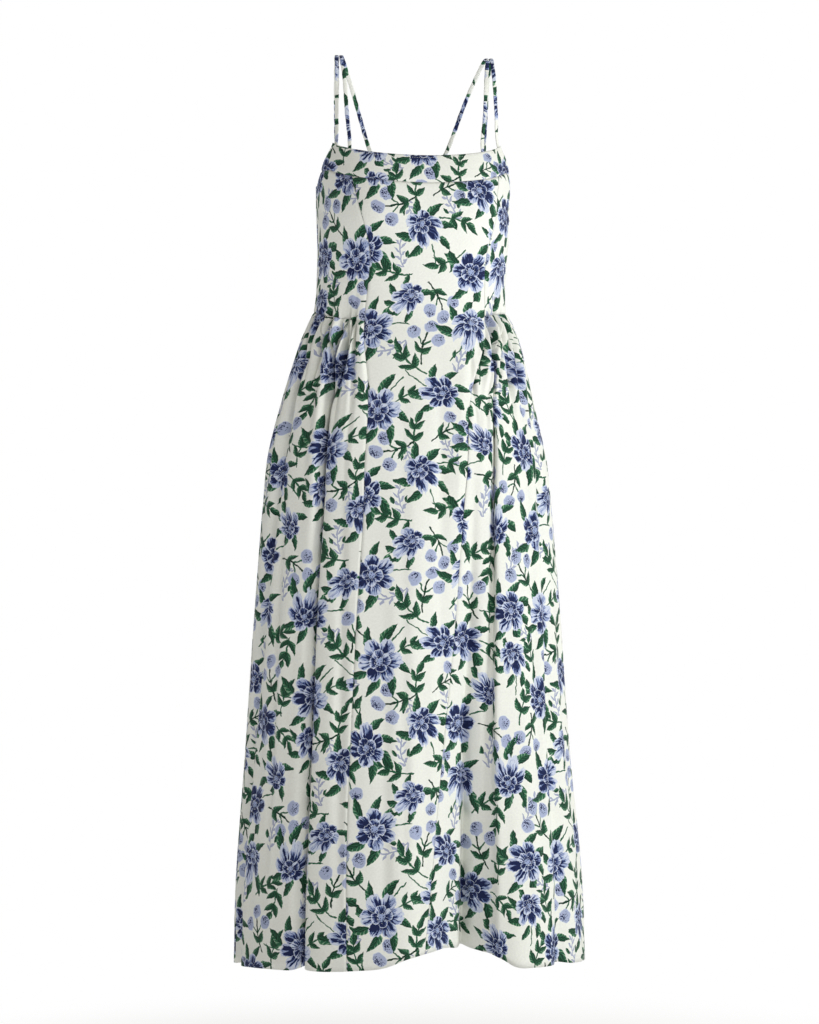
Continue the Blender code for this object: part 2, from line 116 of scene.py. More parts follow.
# The hanging folds. Angle and depth are read at the four drops of STATIONS.
STATIONS = (390, 500, 800, 1262)
Fold = namedtuple("Fold", "name angle depth before after lean")
FOLDS = (
    Fold("right side", (-72, -69, -78, -84), (3, 9, 12, 9), 16, 16, 0),
    Fold("right front", (-46.5, -41, -41, -41.5), (18, 33, 39, 46), 14, 9, 19),
    Fold("front valley", (24, 22, 16, 14), (0, 0, 20, 62), 54, 38, 0),
    Fold("front crease", (26, 22, 17, 15), (0, 0, 5, 13), 9, 7, 0),
    Fold("left front", (44.5, 36.5, 27.5, 22), (10, 15, 11, 3), 17, 6, 12),
    Fold("left side", (74, 66, 58, 51), (3, 8, 9, 11), 15, 18, 0),
    Fold("left back side", (98, 104, 106, 109), (3, 16, 30, 42), 24, 15, 4),
    Fold("left back", (124, 127, 130, 133), (2, 10, 20, 27), 20, 24, 0),
    Fold("left of the zip", (147, 151, 154, 158), (2, 12, 27, 45), 17, 26, -4),
    Fold("right of the zip", (-150, -156, -159, -164), (2, 10, 22, 38), 24, 18, 4),
    Fold("right back", (-126, -131, -137, -141), (3, 15, 31, 44), 16, 25, -5),
    Fold("right back side", (-103, -107, -111, -113), (2, 10, 18, 24), 20, 20, 0),
)
HEM_LIFT, FOLD_RELEASE = 0.27, 60

# Creases too fine for the model's solids: lines from a place to a place, with their height, below zero
# for a trough, and how wide they are to the wearer's right and to the left.
Crease = namedtuple("Crease", "angle_a drop_a angle_b drop_b height before after")
CREASES = [Crease(*row) for row in (
    (-80, 375, -84, 620, -3.2, 8, 8), (-66, 372, -62, 520, 2.9, 7, 7), (-56, 372, -50, 640, -2.9, 8, 8),
    (-50, 380, -38, 560, 2.3, 7, 7), (-38, 384, -33, 700, -2.2, 9, 9), (-31, 430, -35, 1000, 1.7, 10, 10),
    (-20, 640, -17, 1240, -1.4, 16, 16), (-6, 520, -10, 1240, 1.9, 20, 20),
    (6, 450, 2, 900, -1.4, 15, 15), (20, 400, 12, 640, 1.9, 9, 9), (32, 400, 24, 520, -3.5, 6, 6),
    (46, 372, 30, 470, 3.3, 7, 7), (62, 372, 44, 640, -3.2, 8, 8), (70, 372, 60, 760, 2.9, 9, 9),
    (84, 372, 80, 620, -2.9, 9, 9), (36, 760, 40, 1255, 2.3, 13, 13), (68, 700, 74, 1260, -3.2, 14, 14),
    (-56, 700, -60, 1255, 2.9, 12, 12), (-70, 800, -71, 1258, -2.6, 12, 12),
    (96, 372, 94, 680, 3.2, 10, 10), (112, 372, 116, 760, 2.9, 10, 10),
    (120, 800, 121, 1258, -2.3, 13, 13), (138, 372, 141, 640, -3.2, 9, 9),
    (145, 700, 146, 1258, 3.2, 14, 14), (166, 372, 168, 620, 2.9, 9, 9),
    (170, 760, 173, 1255, -2.3, 14, 14), (-168, 372, -170, 640, -3.2, 9, 9),
    (-145, 372, -147, 560, 3.5, 8, 8), (-149, 760, -151, 1258, 2.9, 13, 13),
    (-118, 372, -121, 700, -2.9, 10, 10), (-124, 820, -126, 1258, 2.9, 13, 13),
    (-98, 372, -96, 820, -2.9, 10, 10), (-10, 470, -9.5, 1150, -2.0, 9, 7),
    (6, 440, 2.5, 1000, -1.8, 8, 9), (-2.5, 760, -3.5, 1240, -1.8, 10, 10),
    (-16, 760, -15.5, 1240, -1.8, 9, 9), (-64, 470, -59.5, 1200, -4.0, 9, 6),
    (-72, 420, -74, 1000, -2.6, 7, 7), (-33, 470, -30.5, 1180, -3.0, 8, 6),
    (49, 470, 42, 1220, -3.6, 6, 9), (18, 700, 19, 1180, -2.4, 7, 7), (57, 440, 53, 1150, -2.6, 7, 7),
    # drag lines of the fitted bodice
    (-84, 214, -50, 246, -1.4, 8, 8), (-80, 330, -38, 300, -1.4, 9, 9), (-30, 300, 10, 306, -1.0, 9, 9),
    (-26, 345, 24, 352, 1.0, 8, 8), (48, 236, 84, 212, -1.4, 8, 8), (44, 300, 82, 326, -1.4, 9, 9),
    (12, 268, 40, 252, -0.9, 9, 9), (100, 300, 165, 318, -1.2, 10, 10),
    (-100, 322, -160, 300, -1.2, 10, 10), (110, 240, 150, 252, 0.9, 10, 10),
    (-112, 252, -158, 238, 0.9, 10, 10),
    # the sharp folds that run down from the waist seam at the front
    (-46.5, 350, -42.0, 540, -16.0, 6, 2.6), (-41.5, 520, -41.5, 1100, -6.0, 6, 4),
    (-39.5, 352, -38.5, 500, -16.0, 4, 2), (-43.5, 352, -43, 440, -12.0, 3.5, 2),
    (-58, 350, -57, 470, -15.0, 4.5, 2.4), (-66, 350, -66, 500, -12.0, 5, 2.6),
    (44, 348, 37, 510, -14.0, 5, 3.2), (52, 348, 47, 480, -10.0, 4, 3), (62, 348, 60, 470, -9.0, 4, 3),
    (24, 420, 23, 520, -5.0, 4, 2.6), (15.5, 860, 16.5, 1250, -7.0, 9, 3.5),
    (24.5, 1000, 24, 1240, 2.0, 8, 8),
)]

# Where the two long front folds take cloth in: their line at four drops, and how much each hides there.
Tuck = namedtuple("Tuck", "drops angles taken before after")
TUCKS = (
    Tuck((352, 560, 900, 1262), (-46.0, -40.5, -40.0, -40.5), (28, 12, 10, 8), 7, 4),
    Tuck((348, 510, 880, 1262), (44.0, 37.0, 28.0, 23.0), (24, 10, 6, 0), 6, 5),
)

GATHER_DEPTH, GATHER_OPENS, GATHER_RUNS = 7.5, 16, (85, 150)
SMALL_GATHERS, SMALL_GATHER_RUN = 0.9, 16    # the finer puckers between, just under the waist seam
GATHERS_OPEN_AT = 150
PINCH_DEPTH, PINCH_WIDE, PINCH_RUNS = 9.0, 0.1, (30, 110)    # the sharp nips between the gathers

SEAM_DIP, SEAM_WIDE = 1.1, 1.7    # a seam's own groove: how deep, and how wide to each side
HEM_TURN = 14                     # the hem's turned-up depth
HEM_STEP = 0.3                    # how far the turned cloth stands proud

STRAP_WIDE, STRAP_THICK, STRAP_TUCK = 5.6, 1.8, 13
SHOULDER_X, SHOULDER_SPREAD = 106, 3.2
Strap = namedtuple("Strap", "name side front_angle back_angle spread print_shift")
STRAPS = (
    Strap("strap_outer_right", -1, -59.5, -135, 1, (0.11, 0.04)),
    Strap("strap_inner_right", -1, -46, -168, -1, (0.03, 0.21)),
    Strap("strap_outer_left", 1, 60.5, 129, 1, (0.26, 0.13)),
    Strap("strap_inner_left", 1, 40, 166, -1, (0.19, 0.30)),
)
BEHIND = 3.25                     # from a panel's face to the middle of a strap's end behind it

ZIP_TOP, ZIP_BOTTOM = 200, 540
COIL_PITCH = 1.6
COIL_BEHIND = 4.5                 # from the back's face to the middle of the coils on the tape behind it
STITCH_PROUD = 0.1                # how far the stitches' middles stand out from the cloth


def curve_through(xs, ys, at):
    """A smooth curve through the points (xs, ys), read at each place in at and level beyond its ends."""
    xs, ys = np.asarray(xs, float), np.asarray(ys, float)
    at = np.clip(np.asarray(at, float), xs[0], xs[-1])
    slopes = np.gradient(ys, xs)
    i = np.clip(np.searchsorted(xs, at, side="right") - 1, 0, len(xs) - 2)
    span = xs[i + 1] - xs[i]
    t = (at - xs[i]) / span
    rest = 1 - t
    held = (1 + 2 * t) * rest**2 * ys[i] + t**2 * (3 - 2 * t) * ys[i + 1]
    return held + t * rest * span * (rest * slopes[i] - t * slopes[i + 1])


def read(table, name, at):
    first = table[0]._fields[0]
    return curve_through([getattr(row, first) for row in table], [getattr(row, name) for row in table], at)


def bell(x):
    """1 at the middle, and next to nothing two widths away."""
    return np.exp(-(x**2))


def smoothstep(x):
    x = np.clip(x, 0, 1)
    return x * x * (3 - 2 * x)


def unit(vectors):
    """The vectors, each at length 1."""
    return vectors / np.maximum(np.linalg.norm(vectors, axis=-1, keepdims=True), 1e-12)


def lengths_along(points):
    """How far along its row each point lies from the row's first."""
    steps = np.linalg.norm(np.diff(points, axis=-2), axis=-1)
    return np.insert(np.cumsum(steps, axis=-1), 0, 0.0, axis=-1)


def waist_drop(angle):
    return read(WAIST, "drop", angle)


def neck_drop(angle):
    return NECK_CENTRE - (NECK_CENTRE - NECK_CORNER) * (np.abs(angle) / CORNER_ANGLE) ** 2


def band_seam_drop(angle):
    return neck_drop(np.clip(angle, -CORNER_ANGLE, CORNER_ANGLE)) + BAND_TALL


def bodice_top_drop(angle):
    turn = np.abs(angle)
    band = band_seam_drop(angle)
    armhole = band + (UNDERARM_DROP - band) * smoothstep((turn - BAND_END_ANGLE) / (90 - BAND_END_ANGLE))
    back = UNDERARM_DROP + (BACK_TOP_DROP - UNDERARM_DROP) * smoothstep((turn - 90) / 90)
    return np.where(turn > 90, back, armhole)


def mean_radius(drop):
    return sum(read(SECTIONS, side, drop) for side in ("right", "left", "front", "back")) / 4


def fold_reach(fold, angle, drop, radius):
    centre = curve_through(STATIONS, fold.angle, drop)
    away = np.radians((angle - centre + 180) % 360 - 180) * radius
    grown = radius / mean_radius(STATIONS[-1])
    spread = np.where(away < 0, fold.before, fold.after) * grown
    return bell(away / spread), away, fold.after * grown


def hem_drop(angle):
    level = read(HEM, "drop", angle)
    radius = mean_radius(STATIONS[-1])
    for fold in FOLDS:
        share, _, _ = fold_reach(fold, angle, STATIONS[-1], radius)
        level = level - HEM_LIFT * fold.depth[-1] * share
    return level


def crease_height(angle, drop, radius):
    """The soft creases' height over the form at each place, in millimetres."""
    height = np.zeros_like(drop)
    for crease in CREASES:
        long = crease.drop_b - crease.drop_a
        wide = np.radians(crease.angle_b - crease.angle_a) * radius
        x = np.radians((angle - crease.angle_a + 180) % 360 - 180) * radius
        y = drop - crease.drop_a
        length = np.hypot(long, wide)
        along = (x * wide + y * long) / length**2
        aside = (x * long - y * wide) / length
        ends = bell(np.maximum(np.abs(along - 0.5) - 0.28, 0) / 0.2)
        wander = 1 + 0.25 * np.sin(along * 7 + crease.angle_a)
        spread = np.where(aside < 0, crease.before, crease.after)
        height = height + crease.height * wander * ends * bell(aside / spread)
    return height


def cloth(angle, drop, out=0.0):
    """Points in metres on the cloth's outer face, or out millimetres proud of it, stacked on a last axis."""
    angle, drop = np.broadcast_arrays(np.asarray(angle, float), np.asarray(drop, float))
    turn = np.radians(angle)
    sine, cosine = np.sin(turn), np.cos(turn)
    wide = np.where(sine < 0, read(SECTIONS, "right", drop), read(SECTIONS, "left", drop))
    deep = np.where(cosine > 0, read(SECTIONS, "front", drop), read(SECTIONS, "back", drop))
    square = read(SECTIONS, "square", drop)
    ring = (np.abs(sine) ** square + np.abs(cosine) ** square) ** (-1 / square)
    x, y = wide * sine * ring, -deep * cosine * ring
    across = np.sign(x) * np.abs(x / wide) ** (square - 1) / wide
    along = np.sign(y) * np.abs(y / deep) ** (square - 1) / deep
    length = np.hypot(across, along)
    across, along = across / length, along / length
    bust = np.exp(-(((np.abs(angle) - BUST_ANGLE) / BUST_WIDE) ** 2) - ((drop - BUST_DROP) / BUST_TALL) ** 2)
    push = BUST_OUT * bust
    slide = np.zeros_like(push)
    radius = mean_radius(drop)
    release = smoothstep((drop - waist_drop(angle)) / FOLD_RELEASE)
    for fold in FOLDS:
        share, away, after = fold_reach(fold, angle, drop, radius)
        depth = curve_through(STATIONS, fold.depth, drop) * release
        push = push - depth * share
        edge = after if fold.lean >= 0 else -fold.before / fold.after * after
        lap = bell((away - 1.3 * edge) / (0.9 * edge))
        slide = slide - fold.lean * depth / max(fold.depth) * lap
    push = push + out
    x = x + across * push - along * slide
    y = y + along * push + across * slide
    return np.stack([x, y, -drop], axis=-1) * MM


def uneven(index):
    """A steady but unrepeating share from 0 to 1 for each gather."""
    return (index * 0.61803 + 0.23) % 1.0


def gather_height(share, below, count, depth, flat_end):
    """How far each place of a gathered panel stands out from the ring. share runs from 0 to 1 across it."""
    shifted = 0.3 * np.sin(5.3 * share + 0.7 * count) * np.sin(math.pi * share)
    place = np.clip(share * count + shifted, 0, count)
    which = np.minimum(np.floor(place), count - 1)
    wave = 1 - ((1 + np.cos(2 * math.pi * place)) / 2) ** 2.6
    small = np.sin(4 * math.pi * place + 2.2 * np.sin(which * 1.7))
    if flat_end is not None:
        near = np.abs(place - flat_end * count)
        wave = wave * smoothstep(near / 1.0)
        small = small * smoothstep(near / 1.0)
    size = depth * (0.45 + 0.55 * uneven(which))
    runs = GATHER_RUNS[0] + GATHER_RUNS[1] * uneven(which + 5)
    opened = 0.25 + 0.75 * smoothstep(below / GATHER_OPENS)
    at_ends = smoothstep(share * count) * smoothstep((1 - share) * count)
    fine = SMALL_GATHERS * small * at_ends * bell(below / SMALL_GATHER_RUN)
    between = np.round(place)
    pinch = bell((place - between) / PINCH_WIDE) * (0.5 + 0.5 * uneven(between + 2)) * at_ends
    pinch_runs = PINCH_RUNS[0] + PINCH_RUNS[1] * uneven(between + 7)
    pinch = PINCH_DEPTH * pinch * (0.4 + 0.6 * smoothstep(below / 10)) * bell(below / pinch_runs)
    if flat_end is not None:
        pinch = pinch * smoothstep(near / 1.0)
    return size * wave * opened * bell(below / runs) + fine - pinch


def seam_right(drop):
    return read(PRINCESS, "right", drop)


def seam_left(drop):
    return read(PRINCESS, "left", drop)


def fixed(angle):
    return lambda drop: np.full_like(np.asarray(drop, float), angle)


def band_end(side):
    def angle(drop):
        down = smoothstep((drop - NECK_CORNER) / BAND_TALL)
        return side * (CORNER_ANGLE + (BAND_END_ANGLE - CORNER_ANGLE) * down)
    return angle


def edge_angles(edge, top, bottom, shares):
    """The angle at which each row meets a panel's side edge, by going back and forth between the two."""
    angles = edge(bottom(np.zeros_like(shares)))
    for _ in range(12):
        drops = top(angles) + (bottom(angles) - top(angles)) * shares
        angles = edge(drops)
    return angles


# A panel's cut. first and last are its side edges, top and bottom its drops; sewn names the edges with a
# seam's groove, grain is the angle of the thread line that runs straight down it, and shift is where on
# the printed cloth it was cut, in metres. stretches are the (top, bottom, rows, crowding) it is made from.
# flat is the width and length of the cloth that it is cut from, and area what the cut leaves of it.
Panel = namedtuple(
    "Panel", "node first last stretches columns sewn grain shift flat area held hem gathers flat_end",
    defaults=[False, 0, None])


def panel_points(panel, sizes):
    """The panel's rows of points and their places on the printed cloth, both in metres."""
    points, places = [], []
    for number, (top, bottom, rows, crowding) in enumerate(panel.stretches):
        shares = (np.arange(rows + 1) / rows) ** crowding
        if number:
            shares = shares[1:]
        low = edge_angles(panel.first, top, bottom, shares)[:, None]
        high = edge_angles(panel.last, top, bottom, shares)[:, None]
        shares = shares[:, None]
        angles = low + (high - low) * np.linspace(0, 1, 2 * panel.columns + 1)
        drops = top(angles) + (bottom(angles) - top(angles)) * shares
        walked = lengths_along(cloth(angles, drops)) / MM
        stops = walked[:, -1:] * np.linspace(0, 1, panel.columns + 1)
        angles = np.array([np.interp(s, w, a) for s, w, a in zip(stops, walked, angles)])
        drops = top(angles) + (bottom(angles) - top(angles)) * shares
        out = sizes.crease_depth * crease_height(angles, drops, mean_radius(drops))
        if panel.gathers:
            share = stops / walked[:, -1:]
            depth = sizes.gather_depth / MM
            below = drops - waist_drop(angles)
            out = out + gather_height(share, below, panel.gathers, depth, panel.flat_end)
        fades = smoothstep(np.minimum(stops, walked[:, -1:] - stops) / 14)
        out = out * fades if not panel.gathers else out
        for name, away in (("first", stops), ("last", walked[:, -1:] - stops),
                           ("top", drops - panel.stretches[0][0](angles)),
                           ("bottom", panel.stretches[-1][1](angles) - drops)):
            if name in panel.sewn:
                out = out - SEAM_DIP * bell(away / SEAM_WIDE)
            elif panel.hem and name == "bottom":
                out = out + HEM_STEP * smoothstep((HEM_TURN - away) / 1.2 + 0.5)
        made = cloth(angles, drops, out)
        # the print lies on the cloth as it hangs before it creases, so that no crease shears it
        run = lengths_along(cloth(angles, drops))
        if panel.gathers:
            # the cloth is as wide at the seam as where its gathers have opened out
            below = drops - waist_drop(angles)
            open_row = np.argmin(np.abs(below.mean(1) - GATHERS_OPEN_AT))
            share = smoothstep(below[:open_row] / GATHERS_OPEN_AT)
            run[:open_row] = run[:open_row] * share + run[open_row] * (1 - share)
            for tuck in TUCKS:
                line = curve_through(tuck.drops, tuck.angles, drops)
                away = np.radians(angles - line) * mean_radius(drops)
                taken = curve_through(tuck.drops, tuck.taken, drops) * MM
                run = run + taken * smoothstep((away + tuck.before) / (tuck.before + tuck.after))
        middle = np.array([np.interp(panel.grain, a, r) for a, r in zip(angles, run)])
        levels = np.linspace(100, 1300, 601)
        fall = lengths_along(cloth(np.full_like(levels, panel.grain), levels))
        u = run - middle[:, None] + panel.shift[0]
        v = panel.shift[1] - np.interp(drops, levels, fall)
        points.append(made)
        places.append(np.stack([u, v], axis=-1))
    return np.concatenate(points), np.concatenate(places)


# Making objects

def grid_mesh(name, points, places):
    """A mesh through rows of points, with each point's place on the printed cloth as the UV map cloth."""
    rows, columns = points.shape[:2]
    index = np.arange(rows * columns).reshape(rows, columns)
    corners = [index[:-1, :-1], index[1:, :-1], index[1:, 1:], index[:-1, 1:]]
    faces = np.stack(corners, axis=-1).reshape(-1, 4)
    mesh = bpy.data.meshes.new(name)
    mesh.from_pydata(points.reshape(-1, 3).tolist(), [], faces.tolist())
    layer = mesh.uv_layers.new(name="cloth")
    flat = places.reshape(-1, 2)[faces.reshape(-1)]
    layer.data.foreach_set("uv", flat.astype(np.float32).ravel())
    mesh.shade_smooth()
    return mesh


def put(name, mesh, materials, body, *nodes):
    """The mesh as an object that rides on that body, and stands for those nodes."""
    for material in materials:
        mesh.materials.append(material)
    made = bpy.data.objects.new(name, mesh)
    bpy.context.scene.collection.objects.link(made)
    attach(made, body)
    if nodes:
        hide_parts(*nodes)
    return made


def small_lozenges(name, centres, directions, ups, long, wide, thick):
    """One mesh of many little pointed bars, such as stitches: each lies along its own direction."""
    aside = unit(np.cross(directions, ups))
    above = np.cross(aside, directions)
    corners = [
        centres - directions * long / 2,
        centres + aside * wide / 2,
        centres + above * thick / 2,
        centres - aside * wide / 2,
        centres - above * thick / 2,
        centres + directions * long / 2,
    ]
    points = np.stack(corners, axis=1).reshape(-1, 3)
    around = np.array([1, 2, 3, 4])
    after = np.roll(around, -1)
    zero, five = np.zeros(4, int), np.full(4, 5)
    bar = np.concatenate([np.stack([zero, after, around], 1), np.stack([five, around, after], 1)])
    faces = (bar[None] + 6 * np.arange(len(centres))[:, None, None]).reshape(-1, 3)
    mesh = bpy.data.meshes.new(name)
    mesh.from_pydata(points.tolist(), [], faces.tolist())
    mesh.shade_smooth()
    return mesh


# Materials

def linear(hex_colour):
    """An sRGB hex colour as the linear red, green, blue and alpha that a shader takes."""
    parts = [int(hex_colour[i:i + 2], 16) / 255 for i in (0, 2, 4)]
    return (*[p / 12.92 if p <= 0.04045 else ((p + 0.055) / 1.055) ** 2.4 for p in parts], 1.0)


def add(tree, kind, values=(), output=0, **settings):
    """Adds a node to a tree. values are its inputs' values or the sockets linked to them, as a list in
    their order or as a dict by number or name. The result is its output of that number."""
    node = tree.nodes.new(kind)
    for name, value in settings.items():
        setattr(node, name, value)
    fill(tree, node, values)
    return node.outputs[output] if node.outputs else None


def fill(tree, node, values):
    """Gives a node's inputs their values, or links them to sockets and to numbers worked out by nodes."""
    for key, value in values.items() if isinstance(values, dict) else enumerate(values):
        value = getattr(value, "socket", value)
        if isinstance(value, bpy.types.NodeSocket):
            tree.links.new(value, node.inputs[key])
        else:
            node.inputs[key].default_value = value


class Number:
    """A number worked out by nodes, so that a formula can be written as plain arithmetic."""

    def __init__(self, tree, kind, values, output=0, **settings):
        self.tree = tree
        self.socket = add(tree, kind, values, output, **settings)

    def maths(self, operation, *others):
        return Number(self.tree, "ShaderNodeMath", [self, *others], operation=operation)

    def lays(self, ink, under):
        """The ink where this number is 1, and the colour under it where this is 0."""
        return add(self.tree, "ShaderNodeMix", {0: self, 6: under, 7: ink}, 2, data_type="RGBA")

    __add__ = partialmethod(maths, "ADD")
    __sub__ = partialmethod(maths, "SUBTRACT")
    __mul__ = partialmethod(maths, "MULTIPLY")
    __truediv__ = partialmethod(maths, "DIVIDE")
    __pow__ = partialmethod(maths, "POWER")
    __abs__ = partialmethod(maths, "ABSOLUTE")
    __lt__ = partialmethod(maths, "LESS_THAN")
    __gt__ = partialmethod(maths, "GREATER_THAN")
    near = partialmethod(maths, "COMPARE")
    least = partialmethod(maths, "MINIMUM")
    most = partialmethod(maths, "MAXIMUM")
    fract = partialmethod(maths, "FRACT")
    floor = partialmethod(maths, "FLOOR")
    sine = partialmethod(maths, "SINE")


def measured(tree, operation, *values):
    """The number that measures one vector, or two."""
    return Number(tree, "ShaderNodeVectorMath", values, 1, operation=operation)


def vectors(tree, operation, *values):
    return add(tree, "ShaderNodeVectorMath", values, operation=operation)


def scaled(tree, vector, scale):
    return add(tree, "ShaderNodeVectorMath", {0: vector, "Scale": scale}, operation="SCALE")


def joined(tree, x, y, z=0.0):
    return add(tree, "ShaderNodeCombineXYZ", [x, y, z])


def apart(tree, vector):
    """A vector's x, y and z as numbers."""
    return [Number(tree, "ShaderNodeSeparateXYZ", [vector], output) for output in range(3)]


def material(name):
    """A new material by that name, with its node tree and its main shader."""
    made = bpy.data.materials.new(name)
    made.use_nodes = True
    return made, made.node_tree, made.node_tree.nodes["Principled BSDF"]


# The print's repeat and its motifs, charted in millimetres: where each lies, its radius, which way it is
# turned, its own number for variety, and how it is squeezed as a flower seen from the side.
REPEAT = (300, 340)
Motif = namedtuple("Motif", "x y radius turn number squeeze", defaults=[1.0])
PEONIES = [Motif(*row) for row in (
    (40, 38, 30, 20, 0.13, 0.95), (88, 80, 25, 215, 0.58, 0.78), (28, 150, 29, 110, 0.31, 0.92),
    (110, 172, 29, 300, 0.77, 0.86), (48, 262, 31, 65, 0.05, 0.94), (132, 288, 28, 160, 0.44, 0.84),
    (176, 36, 29, 250, 0.91, 0.96), (180, 118, 31, 30, 0.22, 0.93), (224, 162, 25, 130, 0.66, 0.76),
    (194, 228, 29, 340, 0.39, 0.90), (262, 46, 29, 85, 0.85, 0.88), (274, 268, 30, 190, 0.49, 0.95),
    (280, 202, 26, 280, 0.70, 0.80),
)]
BUDS = [Motif(*row) for row in (
    (112, 22, 27, 70, 0.3), (246, 104, 27, 330, 0.7), (202, 292, 27, 100, 0.2), (66, 206, 27, 190, 0.5),
    (0, 96, 26, 250, 0.9), (4, 322, 28, 120, 0.6), (148, 236, 24, 20, 0.1), (134, 74, 25, 290, 0.8),
)]
LEAVES = [Motif(*row) for row in (
    (140, 128, 30, 200, 0.33), (86, 334, 32, 130, 0.71), (236, 326, 32, 250, 0.17), (240, 212, 26, 310, 0.52),
    (98, 236, 28, 80, 0.88), (222, 12, 28, 20, 0.26), (60, 116, 30, 160, 0.64), (292, 146, 30, 60, 0.42),
    (10, 214, 28, 100, 0.92), (160, 186, 28, 340, 0.08), (90, 284, 26, 20, 0.55), (236, 268, 27, 70, 0.37),
)]
SPRIGS = [Motif(*row) for row in (
    (226, 80, 26, 75, 0.2), (66, 8, 26, 200, 0.6), (292, 4, 27, 55, 0.4), (146, 206, 24, 120, 0.8),
    (76, 142, 24, 95, 0.1), (164, 338, 26, 60, 0.5), (300, 238, 24, 150, 0.3), (90, 196, 22, 280, 0.7),
)]


def nearest_motif(tree, place, motifs):
    """The nearest motif's own coordinates, in which its rim is at 1 and z holds its number."""
    best, reach = None, None
    half = (REPEAT[0] / 2, REPEAT[1] / 2)
    for m in motifs:
        high, low = (m.x + half[0], m.y + half[1], 1), (m.x - half[0], m.y - half[1], -1)
        here = vectors(tree, "WRAP", place, high, low)
        own = add(tree, "ShaderNodeMapping", [
            here, (m.x, m.y, -m.number), (0, 0, math.radians(m.turn)),
            (m.radius, m.radius * m.squeeze, 1)], vector_type="TEXTURE")
        away = measured(tree, "LENGTH", vectors(tree, "MULTIPLY", own, (1.0, 1.0, 0.0)))
        if best is None:
            best, reach = own, away
            continue
        best = add(tree, "ShaderNodeMix", {0: away < reach, 4: best, 5: own}, 1, data_type="VECTOR")
        reach = away.least(reach)
    return best, reach


def bowed(tree, own, bow):
    """A motif round its bowed stem: x and y, how far y is from the stem, and both as places, the second
    folded over the stem so that what is painted on one side shows on the two."""
    x, y, _ = apart(tree, own)
    y = x * x * bow + y
    return x, y, abs(y), joined(tree, x, y), joined(tree, x, abs(y))


def sectors(tree, angle, number, count, turn, seed):
    """Splits the turn round a point into sectors: the place across one from -1 to 1, and its chance."""
    turned = angle * (count / (2 * math.pi)) + (number * 9.0 + turn)
    which = turned.floor().maths("FLOORED_MODULO", float(count))
    key = number.maths("MULTIPLY_ADD", seed, which)
    chance = Number(tree, "ShaderNodeTexWhiteNoise", {"W": key}, noise_dimensions="1D")
    return turned.fract() * 2.0 - 1.0, chance


def petal_ring(tree, under, radius, angle, number, streak, count, outer, turn, stops, inks):
    """Paints one ring of petals over what is under it, navy at its heart and streaked out to a pale rim."""
    across, chance = sectors(tree, angle, number, count, turn, 31.0)
    aside = abs(across)
    edge = chance * (0.14 * outer) + 0.93 * outer - aside**2.8 * (0.3 * outer)
    edge = edge + (streak - 0.5) * (0.3 * outer)
    along = radius / edge
    tone = along + (streak - 0.5) * 2.6 + (chance - 0.5) * 0.34 + across * 0.16
    painted = add(tree, "ShaderNodeValToRGB", [tone])
    ramp = painted.node.color_ramp
    ramp.interpolation = "CONSTANT"
    tones = ((0, inks["navy"]), (stops[0], inks["mid"]), (stops[1], inks["pale"]), (stops[2], inks["rim"]))
    while len(ramp.elements) < len(tones):
        ramp.elements.new(0.5)
    for element, (stop, colour) in zip(ramp.elements, tones):
        element.position = stop
        element.color = colour
    rim = along.most(aside * 0.4 + 0.56) > 0.952
    return (radius < edge).lays(rim.lays(inks["rim"], painted), under)


def paint_leaf(under, x, y, plump, there, inks):
    """Paints one veined leaf that runs from x 0 to its tip at 1, with y from its rib. there is 1 or 0."""
    along = x.most(0.0)
    wide = (along**0.72 * math.pi).sine() * plump
    y = along * along * 0.13 + y
    inside = (abs(y) < wide) * (along < 1.0) * there
    share = y / wide
    vein = ((abs(y) * -1.3 + along) * 5.5).fract()
    tone = vein * 0.95 + share * 0.55 - share.near(0.0, 0.09) * 1.5
    green = (tone > 0.34).lays(inks["green"], inks["dark_green"])
    green = (tone > 1.02).lays(inks["light_green"], green)
    return inside.lays(green, under)


def paint_leaf_at(tree, under, own, start, turn, size, plump, inks):
    """Paints a leaf that grows from start in a motif's own coordinates, turned by so many degrees."""
    local = add(tree, "ShaderNodeMapping", [
        own, (*start, 0), (0, 0, math.radians(turn)), (size, size, 1)], vector_type="TEXTURE")
    x, y, _ = apart(tree, local)
    return paint_leaf(under, x, y, plump, 1.0, inks)


def paint_line(under, x, away, first, last, thick, ink):
    """Paints a stem: where away is less than half its thickness, from first to last along x."""
    within = x.near((first + last) / 2, (last - first) / 2)
    return ((away < thick / 2) * within).lays(ink, under)


def paint_leaf_sprays(tree, under, place, inks):
    """A bowed green stem with two pairs of leaves and one at its tip."""
    own, _ = nearest_motif(tree, place, LEAVES)
    x, _, side, straight, folded = bowed(tree, own, 0.22)
    colour = paint_line(under, x, side, -1.1, 0.42, 0.08, inks["green"])
    colour = paint_leaf_at(tree, colour, folded, (-0.55, 0.0), 50, 0.7, 0.21, inks)
    colour = paint_leaf_at(tree, colour, folded, (-0.02, 0.0), 42, 0.66, 0.22, inks)
    return paint_leaf_at(tree, colour, straight, (0.32, 0.0), 4, 0.74, 0.23, inks)


